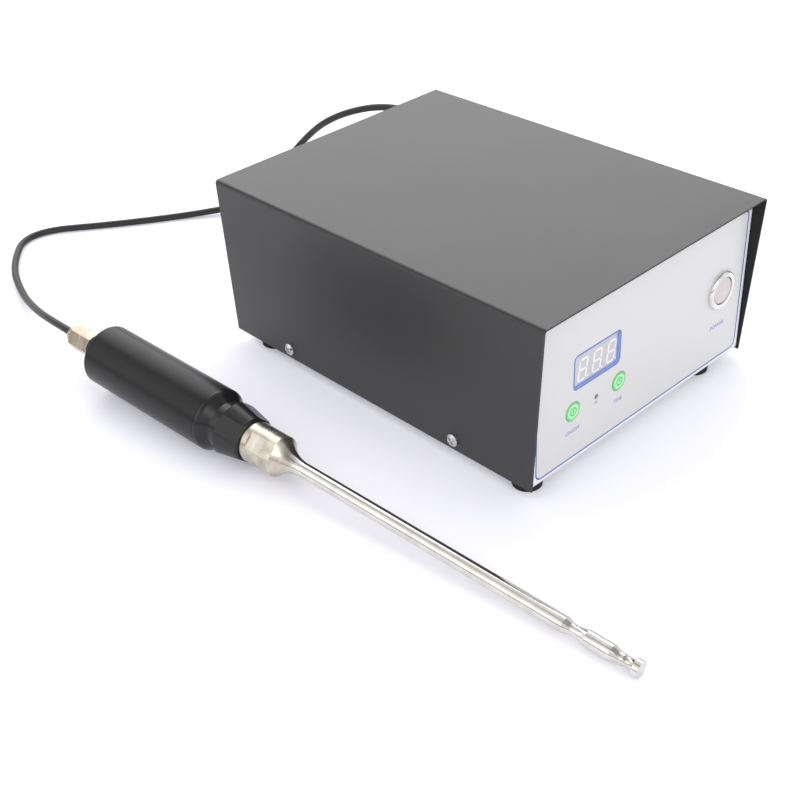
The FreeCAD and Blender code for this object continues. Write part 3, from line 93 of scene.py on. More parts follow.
def startMaterial(name, hexCode, roughness, metallic=0.0, **sockets):
    material = bpy.data.materials.new(name)
    material.use_nodes = True
    shader = material.node_tree.nodes["Principled BSDF"]
    shader.inputs["Base Color"].default_value = colour(hexCode)
    shader.inputs["Roughness"].default_value = roughness
    shader.inputs["Metallic"].default_value = metallic
    for key, value in sockets.items():
        shader.inputs[key.replace("_", " ")].default_value = value
    material.diffuse_color = colour(hexCode)
    return material, material.node_tree, shader


# the part of the noise's range that is used, and how far each kind of finish strays from its roughness
noiseSettings = {"fineness": 0.55, "levels": (0.3, 0.7), "colours": (0.32, 0.68)}
roughnessSpread = {"coat": (-0.008, 0.008), "plate": (-0.04, 0.08), "turned": (-0.03, 0.05), "drawn": (-0.03, 0.04)}
latheStretch = (40.0, 40.0, 1.0)  # lathe marks run round the probe's axis, so the noise is thin along it


def objectCoords(tree):
    return addNode(tree, "ShaderNodeTexCoord").outputs["Object"]


def grainField(tree, size, detail=2.0, stretch=(1.0, 1.0, 1.0), turned=None):  # noise with lumps of about size mm
    mapping = {"Scale": stretch}
    if turned is not None:
        mapping["Rotation"] = turned.to_euler()
    mapped = addNode(tree, "ShaderNodeMapping", {"vector_type": "POINT" if turned is None else "TEXTURE"},
                     mapping, {"Vector": objectCoords(tree)})
    return addNode(tree, "ShaderNodeTexNoise", {},
                   {"Scale": 1000 / size, "Detail": detail, "Roughness": noiseSettings["fineness"]},
                   {"Vector": mapped.outputs["Vector"]}).outputs["Fac"]


def spreadLevel(tree, field, low, high):
    start, end = noiseSettings["levels"]
    return addNode(tree, "ShaderNodeMapRange", {},
                   {"From Min": start, "From Max": end, "To Min": low, "To Max": high},
                   {"Value": field}).outputs["Result"]


def varyRoughness(tree, shader, field, level, spread):
    rough = spreadLevel(tree, field, level + spread[0], level + spread[1])
    tree.links.new(rough, shader.inputs["Roughness"])


def cloudColour(tree, field, darkCode, lightCode):
    ramp = addNode(tree, "ShaderNodeValToRGB", {}, {}, {"Fac": field})
    for stop, position, code in zip(ramp.color_ramp.elements, noiseSettings["colours"], (darkCode, lightCode)):
        stop.position = position
        stop.color = colour(code)
    return ramp.outputs["Color"]


def varyColour(tree, shader, field, darkCode, lightCode):
    tree.links.new(cloudColour(tree, field, darkCode, lightCode), shader.inputs["Base Color"])


def mixColours(tree, factor, first, second):  # each of the two is a hex code or another node's socket
    mix = addNode(tree, "ShaderNodeMix", {"data_type": "RGBA"}, {}, {"Factor": factor})
    for socket, source in zip([s for s in mix.inputs if s.type == "RGBA"], (first, second)):
        feed(tree, socket, colour(source) if isinstance(source, str) else source)
    return [s for s in mix.outputs if s.type == "RGBA"][0]


def raiseGrain(tree, shader, height, depth, strength=1.0):
    bump = addNode(tree, "ShaderNodeBump", {}, {"Strength": strength, "Distance": depth / 1000}, {"Height": height})
    tree.links.new(bump.outputs["Normal"], shader.inputs["Normal"])


def powderCoat(name, settings):
    material, tree, shader = startMaterial(name, settings["colour"], settings["roughness"],
                                           Specular_IOR_Level=settings["sheen"])
    peel = grainField(tree, settings["peel"], 1.0)
    raiseGrain(tree, shader, peel, settings["peelDepth"])
    cloud = grainField(tree, settings["cloud"], 3.0)
    varyRoughness(tree, shader, cloud, settings["roughness"], roughnessSpread["coat"])
    return material


def coverCoat(name, settings):  # satin outside; on the sheet's inner faces the colour is painted shade, darkened to near black, and a higher roughness makes them duller
    material = powderCoat(name, settings)
    tree = material.node_tree
    shader = tree.nodes["Principled BSDF"]
    outerRoughness = shader.inputs["Roughness"].links[0].from_socket
    parts = addNode(tree, "ShaderNodeSeparateXYZ", {}, {}, {"Vector": objectCoords(tree)}).outputs
    reach = calculate(tree, "ABSOLUTE", calculate(tree, "SUBTRACT", parts["X"], middleX))
    between = calculate(tree, "LESS_THAN", reach, settings["innerHalf"] / 1000)
    under = calculate(tree, "LESS_THAN", parts["Z"], settings["innerTop"] / 1000)
    innerShade = calculate(tree, "MULTIPLY", between, under)
    # painted shade: the inner faces of the sheet get a near-black colour, standing in for the shadow inside the
    # skirt
    mixed = mixColours(tree, innerShade, settings["colour"], settings["insideShadeColour"])
    tree.links.new(mixed, shader.inputs["Base Color"])
    rough = addNode(tree, "ShaderNodeMix", {}, {3: settings["insideRoughness"]}, {0: innerShade, 2: outerRoughness})
    tree.links.new(rough.outputs[0], shader.inputs["Roughness"])
    return material


mottleShare = 18  # the colour's cloudy patches are this many times wider than the skin's grain


def mouldedPlastic(name, settings):
    material, tree, shader = startMaterial(name, settings["colour"], settings["roughness"],
                                           Specular_IOR_Level=settings.get("sheen", 0.5))
    raiseGrain(tree, shader, grainField(tree, settings["grain"]), settings["grainDepth"])
    if "dark" in settings:
        mottle = grainField(tree, settings["grain"] * mottleShare, 3.0)
        varyColour(tree, shader, mottle, settings["dark"], settings["colour"])
    return material


def platedMetal(name, settings):
    material, tree, shader = startMaterial(name, settings["colour"], settings["roughness"], 1.0)
    cloud = grainField(tree, settings["cloud"], 3.0)
    varyRoughness(tree, shader, cloud, settings["roughness"], roughnessSpread["plate"])
    varyColour(tree, shader, cloud, settings["dark"], settings["colour"])
    return material


def turnedMetal(name, settings):
    material, tree, shader = startMaterial(name, settings["colour"], settings["roughness"], 1.0)
    marks = grainField(tree, settings["marks"], 2.0, latheStretch, probeTurn)
    raiseGrain(tree, shader, marks, settings["markDepth"])
    cloud = grainField(tree, settings["cloud"], 4.0)
    varyRoughness(tree, shader, cloud, settings["roughness"], roughnessSpread["turned"])
    varyColour(tree, shader, cloud, settings["dark"], settings["colour"])
    return material


def hornTitanium(name, settings):  # the drawn rod is polished, the machined block behind it is left satin
    material, tree, shader = startMaterial(name, settings["colour"], settings["roughness"], 1.0)
    marks = grainField(tree, settings["marks"], 2.0, latheStretch, probeTurn)
    raiseGrain(tree, shader, marks, settings["markDepth"])
    along = addNode(tree, "ShaderNodeVectorMath", {"operation": "DOT_PRODUCT"}, {1: probeForward},
                    {0: objectCoords(tree)}).outputs["Value"]
    blockEnd = place(*settings["blockEnd"]).dot(probeForward)
    before, after = settings["blend"]
    rod = addNode(tree, "ShaderNodeMapRange", {"interpolation_type": "SMOOTHSTEP"},
                  {"From Min": blockEnd - before / 1000, "From Max": blockEnd + after / 1000},
                  {"Value": along}).outputs["Result"]
    cloud = grainField(tree, settings["cloud"], 4.0)
    level = addNode(tree, "ShaderNodeMapRange", {},
                    {"To Min": settings["blockRoughness"], "To Max": settings["roughness"]}, {"Value": rod})
    spread = spreadLevel(tree, cloud, *roughnessSpread["drawn"])
    rough = calculate(tree, "ADD", level.outputs["Result"], spread)
    tree.links.new(rough, shader.inputs["Roughness"])
    block = cloudColour(tree, cloud, settings["blockDark"], settings["blockColour"])
    drawn = cloudColour(tree, cloud, settings["dark"], settings["colour"])
    tree.links.new(mixColours(tree, rod, block, drawn), shader.inputs["Base Color"])
    return material


inkSkin = {"grain": 0.3, "depth": 0.004}


def printedInk(name, settings):
    material, tree, shader = startMaterial(name, settings["colour"], settings["roughness"])
    raiseGrain(tree, shader, grainField(tree, inkSkin["grain"]), inkSkin["depth"])
    return material


# satin black: the sheen comes from a broad soft highlight, the fine orange peel keeps it from looking like glass
coverPaint = coverCoat("satinBlackPowderCoat", {
    "colour": "#1f1f1f", "roughness": 0.42, "sheen": 0.68, "peel": 0.9, "peelDepth": 0.010, "cloud": 60,
    # the inner colour is painted shade for the skirt's inner faces; the inner roughness makes them duller
    "insideShadeColour": "#080808", "insideRoughness": 0.85, "innerHalf": 99.4, "innerTop": 113.4})
chassisPaint = powderCoat("paleGreyPowderCoat", {
    "colour": "#dddde0", "roughness": 0.45, "sheen": 0.5, "peel": 0.9, "peelDepth": 0.010, "cloud": 60})
blackPlastic = mouldedPlastic("blackNylon", {
    "colour": "#161617", "roughness": 0.42, "grain": 0.5, "grainDepth": 0.01})
rubber = mouldedPlastic("blackNitrileRubber", {
    "colour": "#141414", "roughness": 0.72, "grain": 0.4, "grainDepth": 0.02, "sheen": 0.35})
bezelPlastic = mouldedPlastic("blueAcrylic", {
    "colour": "#93aff0", "roughness": 0.25, "grain": 1.5, "grainDepth": 0.004})
displayEpoxy = mouldedPlastic("greyDisplayEpoxy", {
    "colour": "#cfcdce", "roughness": 0.38, "grain": 0.8, "grainDepth": 0.004, "dark": "#c8c6c6"})
segmentEpoxy = mouldedPlastic("milkySegmentEpoxy", {
    "colour": "#f6f6f4", "roughness": 0.32, "grain": 0.8, "grainDepth": 0.003})
keySilicone = mouldedPlastic("greenKeySilicone", {
    "colour": "#7fcf90", "roughness": 0.5, "grain": 0.4, "grainDepth": 0.006})
ledEpoxy = mouldedPlastic("smokyLedEpoxy", {
    "colour": "#7a7474", "roughness": 0.12, "grain": 2.0, "grainDepth": 0.002})
polishedSteel = platedMetal("polishedStainlessSteel", {
    "colour": "#e8e6e3", "dark": "#dedcd8", "roughness": 0.07, "cloud": 12})
satinSteel = platedMetal("satinStainlessSteel", {
    "colour": "#d6cfcd", "dark": "#c8c2c0", "roughness": 0.38, "cloud": 9})
zincPlate = platedMetal("brightZincPlate", {
    "colour": "#d4d4d2", "dark": "#b9b9b6", "roughness": 0.22, "cloud": 3})
nickelPlate = platedMetal("nickelPlatedBrass", {
    "colour": "#b9ad9e", "dark": "#9e9180", "roughness": 0.20, "cloud": 6})
tinnedBrass = platedMetal("tinnedBrass", {
    "colour": "#c9c2b2", "dark": "#b0a68f", "roughness": 0.30, "cloud": 4})
barrelBlack = powderCoat("satinBlackAnodising", {
    "colour": "#1c1b1b", "roughness": 0.32, "sheen": 0.27, "peel": 0.5, "peelDepth": 0.004, "cloud": 30})
# the cap at the probe's front is smoother, so its facets catch the walls
noseBlack = powderCoat("polishedBlackAcetal", {
    "colour": "#1a1a1b", "roughness": 0.24, "sheen": 0.42, "peel": 0.6, "peelDepth": 0.003, "cloud": 20})
titanium = hornTitanium("machinedTitanium", {
    "colour": "#dfdcd7", "dark": "#cdcac4", "roughness": 0.09, "blockColour": "#d3ccc0", "blockDark": "#aaa294",
    "blockRoughness": 0.27, "blockEnd": (-179.6, -27.1, 16.0), "blend": (12, 6), "marks": 0.5, "markDepth": 0.003,
    "cloud": 8})
turnedSteel = turnedMetal("turnedSteel", {
    "colour": "#b9b9b9", "dark": "#9c9c9c", "roughness": 0.30, "marks": 0.5, "markDepth": 0.01, "cloud": 10})
turnedAluminium = turnedMetal("turnedAluminium", {
    "colour": "#cfd0d1", "dark": "#babbbc", "roughness": 0.33, "marks": 0.6, "markDepth": 0.01, "cloud": 12})
cableSheath = mouldedPlastic("blackPvcSheath", {
    "colour": "#171717", "roughness": 0.45, "grain": 0.6, "grainDepth": 0.01})
borderInk = printedInk("blueScreenInk", {"colour": "#4a62b6", "roughness": 0.4})
windowInk = printedInk("midBlueScreenInk", {"colour": "#5876c4", "roughness": 0.4})
legendInk = printedInk("paleBlueScreenInk", {"colour": "#7478c0", "roughness": 0.4})
keyPale = printedInk("paleGreenInk", {"colour": "#b0fbb2", "roughness": 0.45})
keyDark = printedInk("midGreenInk", {"colour": "#5fb66f", "roughness": 0.45})
boardMask = mouldedPlastic("greenSolderMask", {
    "colour": "#1d6b3c", "roughness": 0.35, "grain": 1.2, "grainDepth": 0.01, "dark": "#165a31"})
heatsinkAlu = platedMetal("extrudedAluminium", {
    "colour": "#c9cbcd", "dark": "#b5b7ba", "roughness": 0.35, "cloud": 8})
mouldedEpoxy = mouldedPlastic("blackMouldingEpoxy", {
    "colour": "#1a1a1b", "roughness": 0.55, "grain": 0.3, "grainDepth": 0.01})
ferrite = mouldedPlastic("sinteredFerrite", {
    "colour": "#3a3a3b", "roughness": 0.6, "grain": 0.5, "grainDepth": 0.02, "dark": "#2d2d2e"})
bobbinPlastic = mouldedPlastic("creamBobbinPhenolic", {
    "colour": "#d8d0b8", "roughness": 0.5, "grain": 0.5, "grainDepth": 0.01})
copperWire = platedMetal("enamelledCopper", {
    "colour": "#c8713a", "dark": "#a85a2a", "roughness": 0.25, "cloud": 5})
copperPlate = platedMetal("bareCopper", {
    "colour": "#d08a5c", "dark": "#b87348", "roughness": 0.3, "cloud": 6})
canSleeve = mouldedPlastic("navyShrinkSleeve", {
    "colour": "#1b2440", "roughness": 0.3, "grain": 2.0, "grainDepth": 0.006})
filmBox = mouldedPlastic("amberCapacitorBox", {
    "colour": "#c98a2c", "roughness": 0.45, "grain": 0.5, "grainDepth": 0.01})
piezoCeramic = mouldedPlastic("silveredLeadZirconate", {
    "colour": "#b9b2a2", "roughness": 0.5, "grain": 0.4, "grainDepth": 0.01, "dark": "#a59c88"})
fuseGlass = mouldedPlastic("fuseGlassAndCaps", {
    "colour": "#c6c9c6", "roughness": 0.15, "grain": 3.0, "grainDepth": 0.002})

# the overlay film: pale grey, a shade lighter outside the printed line
overlaySettings = {"inner": "#dcdcdb", "outer": "#f1f1f5", "lineX": 95.2, "lineBottom": 10.9, "lineTop": 111.0,
                   "softEdge": 0.2, "roughness": 0.34, "grain": 0.25, "grainDepth": 0.003}


def overlayFilm(settings):
    material, tree, shader = startMaterial("mattPolycarbonateFilm", settings["inner"], settings["roughness"])
    parts = addNode(tree, "ShaderNodeSeparateXYZ", {}, {}, {"Vector": objectCoords(tree)}).outputs
    centreZ = (settings["lineBottom"] + settings["lineTop"]) / 2
    halfZ = (settings["lineTop"] - settings["lineBottom"]) / 2
    reach = []
    for axis, centre, half in (("X", middleX, settings["lineX"] / 1000), ("Z", centreZ / 1000, halfZ / 1000)):
        offset = calculate(tree, "ABSOLUTE", calculate(tree, "SUBTRACT", parts[axis], centre))
        reach.append(calculate(tree, "SUBTRACT", offset, half))
    edge = settings["softEdge"] / 1000
    outside = addNode(tree, "ShaderNodeMapRange", {}, {"From Min": -edge, "From Max": edge},
                      {"Value": calculate(tree, "MAXIMUM", *reach)}).outputs["Result"]
    film = mixColours(tree, outside, settings["inner"], settings["outer"])
    tree.links.new(film, shader.inputs["Base Color"])
    raiseGrain(tree, shader, grainField(tree, settings["grain"]), settings["grainDepth"])
    return material


filmMaterial = overlayFilm(overlaySettings)

nodeFinish = {
    coverPaint: ["top_cover"],
    chassisPaint: ["chassis"],
    filmMaterial: ["front_overlay"],
    zincPlate: ["cover_screws", "clinch_nuts", "foot_screws", "foot_nuts", "control_board_screws", "fan_screws",
                "board_screws"],
    rubber: ["rubber_feet", "gland_seals", "flange_seals"],
    bezelPlastic: ["display_bezel"],
    displayEpoxy: ["display_module"],
    segmentEpoxy: ["display_segments"],
    boardMask: ["control_board", "main_board"],
    nickelPlate: ["control_board_spacers", "rear_gland_body", "rear_gland_cap", "rear_gland_locknut",
                  "board_spacers", "probe_gland_body", "probe_gland_cap"],
    blackPlastic: ["tact_switches", "mains_inlet", "fuse_drawer", "fan_frame", "fan_rotor"],
    ledEpoxy: ["indicator_led"],
    keySilicone: ["on_off_key", "time_key"],
    polishedSteel: ["power_button_housing", "fan_guard", "power_button_nut"],
    satinSteel: ["power_button_cap"],
    tinnedBrass: ["power_button_terminals", "inlet_pins"],
    fuseGlass: ["fuse"],
    heatsinkAlu: ["heatsink"],
    mouldedEpoxy: ["power_transistors", "bridge_rectifier"],
    ferrite: ["ferrite_cores"],
    bobbinPlastic: ["coil_bobbins"],
    copperWire: ["coil_windings"],
    canSleeve: ["bus_capacitors"],
    filmBox: ["film_capacitors"],
    barrelBlack: ["probe_housing", "probe_end_cap"],
    noseBlack: ["probe_collar"],
    turnedSteel: ["back_mass", "preload_bolt", "horn_stud"],
    turnedAluminium: ["front_mass", "flange_retainer"],
    piezoCeramic: ["piezo_rings"],
    copperPlate: ["electrodes"],
    titanium: ["horn"],
}


def finishNodes():
    for material, names in nodeFinish.items():
        for name in names:
            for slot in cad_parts[name].material_slots:
                slot.link = "OBJECT"
                slot.material = material


finishNodes()
print("nodes finished")


def makePiece(name, mesh, material, body):
    piece = bpy.data.objects.new(name, mesh)
    bpy.context.scene.collection.objects.link(piece)
    if not piece.data.materials:
        piece.data.materials.append(material)
    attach(piece, body)
    return piece


# the cable: one smooth line along the CAD tube's route
cableSettings = {
    "route": [(84.0, 145.6, 98.5), (84.0, 171.6, 98.5), (63.0, 209.0, 87.0), (61.0, 248.0, 57.0),
              (27.0, 273.0, 8.0), (-6.0, 299.0, 2.5), (-62.0, 335.0, 2.5), (-119.0, 380.0, 2.5),
              (-156.0, 337.0, 2.5), (-173.0, 293.0, 2.5), (-189.0, 241.0, 17.0), (-197.1, 199.9, 27.5),
              (-195.1, 174.0, 26.2)],
    "diameter": 5.0,
    "length": 0.579,
    "steps": 16,
    "roundness": 6,
}


def makeCable(settings):
    curve = bpy.data.curves.new("probeCable", "CURVE")
    curve.dimensions = "3D"
    line = curve.splines.new("NURBS")
    line.points.add(len(settings["route"]) - 1)
    for point, spot in zip(line.points, settings["route"]):
        point.co = (*place(*spot), 1.0)
    line.order_u = 3
    line.use_endpoint_u = True
    line.resolution_u = settings["steps"]
    curve.resolution_u = settings["steps"]
    curve.bevel_depth = settings["diameter"] / 2000
    curve.bevel_resolution = settings["roundness"]
    curve.use_fill_caps = True
    cable = makePiece("probeCable", curve, cableSheath, "case")
    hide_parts("probe_cable")


makeCable(cableSettings)
print("cable laid")

# front panel prints: thin ink that stands on the overlay film
panelSettings = {"face": -128.1, "ink": 0.04}


def roundedLoop(x, z, width, height, corner, steps=10):
    loop = []
    for cornerX, cornerZ, start in ((1, 1, 0), (-1, 1, 90), (-1, -1, 180), (1, -1, 270)):
        for i in range(steps + 1):
            angle = math.radians(start + 90 * i / steps)
            loop.append((x + cornerX * (width / 2 - corner) + corner * math.cos(angle),
                         z + cornerZ * (height / 2 - corner) + corner * math.sin(angle)))
    return loop


def roundLoop(x, z, radius, steps=48):
    return [(x + radius * math.cos(2 * math.pi * i / steps), z + radius * math.sin(2 * math.pi * i / steps))
            for i in range(steps)]


def inkBand(bm, outer, inner, front, back):  # a closed flat band between two loops, or a disc where inner is empty
    def ring(loop, y):
        return [bm.verts.new(place(x, y, z)) for x, z in loop]
    outFront, outBack = ring(outer, front), ring(outer, back)
    if not inner:
        bm.faces.new(outFront)
        bm.faces.new(outBack[::-1])
    else:
        inFront, inBack = ring(inner, front), ring(inner, back)
    for i in range(len(outer)):
        j = (i + 1) % len(outer)
        bm.faces.new((outFront[i], outFront[j], outBack[j], outBack[i]))
        if inner:
            bm.faces.new((inFront[j], inFront[i], inBack[i], inBack[j]))
            bm.faces.new((outFront[j], outFront[i], inFront[i], inFront[j]))
            bm.faces.new((outBack[i], outBack[j], inBack[j], inBack[i]))


def bandMesh(name, bands, face, thickness):
    bm = bmesh.new()
    for outer, inner in bands:
        inkBand(bm, outer, inner, face - thickness, face)
    bmesh.ops.recalc_face_normals(bm, faces=bm.faces)
    mesh = bpy.data.meshes.new(name)
    bm.to_mesh(mesh)
    bm.free()
    return mesh


borderSettings = {"left": -95.7, "right": 95.2, "bottom": 10.6, "top": 106.6, "width": 0.95, "corner": 5.0}


def makeBorder(settings):
    x = (settings["left"] + settings["right"]) / 2
    z = (settings["bottom"] + settings["top"]) / 2
    width = settings["right"] - settings["left"]
    height = settings["top"] - settings["bottom"]
    line = settings["width"]
    outer = roundedLoop(x, z, width, height, settings["corner"])
    inner = roundedLoop(x, z, width - 2 * line, height - 2 * line, settings["corner"] - line)
    mesh = bandMesh("panelBorder", [(outer, inner)], panelSettings["face"], panelSettings["ink"])
    makePiece("panelBorder", mesh, borderInk, "case")


makeBorder(borderSettings)

legendSettings = [
    {"name": "legendOnOff", "words": "ON/OFF", "x": -64.5, "z": 29.5, "high": 2.5, "wide": 11.8},
    {"name": "legendTime", "words": "TIME", "x": -24.1, "z": 29.8, "high": 2.4, "wide": 7.4},
    {"name": "legendPower", "words": "POWER", "x": 72.8, "z": 35.7, "high": 2.8, "wide": 13.9},
    {"name": "legendIndicator", "words": "A", "x": -44.4, "z": 38.6, "high": 2.3, "wide": 2.4},
]


def makeLegend(settings):
    text = bpy.data.curves.new(settings["name"], "FONT")
    text.body = settings["words"]
    text.extrude = panelSettings["ink"] / 2
    text.resolution_u = 3
    carrier = bpy.data.objects.new(settings["name"] + "Text", text)
    bpy.context.scene.collection.objects.link(carrier)
    bpy.context.view_layer.update()
    mesh = bpy.data.meshes.new_from_object(carrier.evaluated_get(bpy.context.evaluated_depsgraph_get()))
    bpy.data.objects.remove(carrier)
    mesh.name = settings["name"]
    xs = [v.co.x for v in mesh.vertices]
    ys = [v.co.y for v in mesh.vertices]
    scaleX = settings["wide"] / (max(xs) - min(xs))
    scaleZ = settings["high"] / (max(ys) - min(ys))
    for v in mesh.vertices:
        across = (v.co.x - (max(xs) + min(xs)) / 2) * scaleX
        up = (v.co.y - (max(ys) + min(ys)) / 2) * scaleZ
        depth = panelSettings["face"] - panelSettings["ink"] / 2 - v.co.z
        v.co = place(settings["x"] + across, depth, settings["z"] + up)
    mesh.materials.clear()
    makePiece(settings["name"], mesh, legendInk, "case")


for legend in legendSettings:
    makeLegend(legend)

windowSettings = {"x": -44.8, "z": 66.9, "width": 41.0, "height": 22.8, "corner": 3.5, "line": 0.95}


def makeWindowLine(settings):  # the darker line printed on the blue frame's flat rim
    x, z, width, height, corner, line = (settings[k] for k in ("x", "z", "width", "height", "corner", "line"))
    outer = roundedLoop(x, z, width, height, corner)
    inner = roundedLoop(x, z, width - 2 * line, height - 2 * line, corner - line)
    mesh = bandMesh("windowLine", [(outer, inner)], panelSettings["face"], panelSettings["ink"])
    makePiece("windowLine", mesh, windowInk, "case")


makeWindowLine(windowSettings)
print("panel printed")

# key faces: a pale disc and a darker sign on each green key
keySettings = {"front": -128.5, "z": 42.8, "pale": 4.55, "ink": 0.05, "signRadius": 2.7, "signLine": 0.7,
               # each sign's bars: their middle from the key's, their width and height
               "onOffX": -64.9, "onOffBars": [(0, 0.1, 0.8, 2.6)],
               "timeX": -24.3, "timeBars": [(0, 0.75, 0.65, 1.9), (0.6, 0.0, 1.6, 0.65)]}


def barLoop(x, z, width, height):
    return [(x - width / 2, z - height / 2), (x + width / 2, z - height / 2), (x + width / 2, z + height / 2),
            (x - width / 2, z + height / 2)]


def makeKeyFace(name, x, body, bars):
    z = keySettings["z"]
    front = keySettings["front"]
    ink = keySettings["ink"]
    disc = bandMesh(name + "Disc", [(roundLoop(x, z, keySettings["pale"]), None)], front, ink)
    makePiece(name + "Disc", disc, keyPale, body)
    radius = keySettings["signRadius"]
    line = keySettings["signLine"]
    bands = [(roundLoop(x, z, radius), roundLoop(x, z, radius - line))]
    bands += [(barLoop(x + dx, z + dz, width, height), None) for dx, dz, width, height in bars]
    sign = bandMesh(name + "Sign", bands, front - ink, ink)
    makePiece(name + "Sign", sign, keyDark, body)


makeKeyFace("onOffKey", keySettings["onOffX"], "key_on_off", keySettings["onOffBars"])
makeKeyFace("timeKey", keySettings["timeX"], "key_time", keySettings["timeBars"])
print("keys printed")

# Geometry Nodes: the wire guard over the fan, and the turns of wire on the two coils
def newTree(name, sizes):
    tree = bpy.data.node_groups.new(name, "GeometryNodeTree")
    for key, value in sizes.items():
        kind = "NodeSocketInt" if isinstance(value, int) else "NodeSocketFloat"
        tree.interface.new_socket(key, in_out="INPUT", socket_type=kind)
    tree.interface.new_socket("Geometry", in_out="OUTPUT", socket_type="NodeSocketGeometry")
    return tree, addNode(tree, "NodeGroupInput").outputs


def spot(tree, x=0.0, y=0.0, z=0.0):
    node = addNode(tree, "ShaderNodeCombineXYZ")
    for socket, value in zip(node.inputs, (x, y, z)):
        feed(tree, socket, value)
    return node.outputs[0]


def wireAlong(tree, curve, radius, sides):  # a round wire, closed at its ends
    section = addNode(tree, "GeometryNodeCurvePrimitiveCircle", {}, {"Resolution": sides}, {"Radius": radius})
    return addNode(tree, "GeometryNodeCurveToMesh", {}, {"Fill Caps": True},
                   {"Curve": curve, "Profile Curve": section.outputs["Curve"]}).outputs["Mesh"]


def closeTree(tree, parts, material):
    joined = addNode(tree, "GeometryNodeJoinGeometry")
    for part in parts:
        tree.links.new(part, joined.inputs["Geometry"])
    real = addNode(tree, "GeometryNodeRealizeInstances", {}, {}, {"Geometry": joined.outputs[0]})
    smooth = addNode(tree, "GeometryNodeSetShadeSmooth", {}, {}, {"Geometry": real.outputs[0]})
    painted = addNode(tree, "GeometryNodeSetMaterial", {}, {"Material": material}, {"Geometry": smooth.outputs[0]})
    addNode(tree, "NodeGroupOutput", {}, {}, {"Geometry": painted.outputs[0]})


def grownMesh(name, tree, sizes):  # runs the tree on an empty mesh and keeps the plain result, still in mm
    carrier = bpy.data.objects.new(name + "Grower", bpy.data.meshes.new(name + "Grower"))
    bpy.context.scene.collection.objects.link(carrier)
    grower = carrier.modifiers.new(name, "NODES")
    grower.node_group = tree
    for item in tree.interface.items_tree:
        if item.in_out == "INPUT":
            grower[item.identifier] = sizes[item.name]
    bpy.context.view_layer.update()
    mesh = bpy.data.meshes.new_from_object(carrier.evaluated_get(bpy.context.evaluated_depsgraph_get()))
    mesh.name = name
    bpy.data.objects.remove(carrier)
    return mesh


guardSettings = {
    "x": 12.0, "face": 127.6, "z": 60.0,
    "sizes": {"Wire Radius": 0.8, "First Ring": 8.0, "Ring Step": 6.0, "Ring Count": 4, "Ring Height": 3.0,
              "Spoke Height": 1.8, "Spoke Reach": 27.6, "Leg End": 31.2, "Eye Reach": 35.36, "Eye Middle": 3.52,
              "Eye Width": 2.55, "Eye Thickness": 1.0},
    "kneeOut": 1.2, "legSink": 0.8, "wireSides": 10, "ringSteps": 72, "legSteps": 8, "eyeSteps": 32,
}


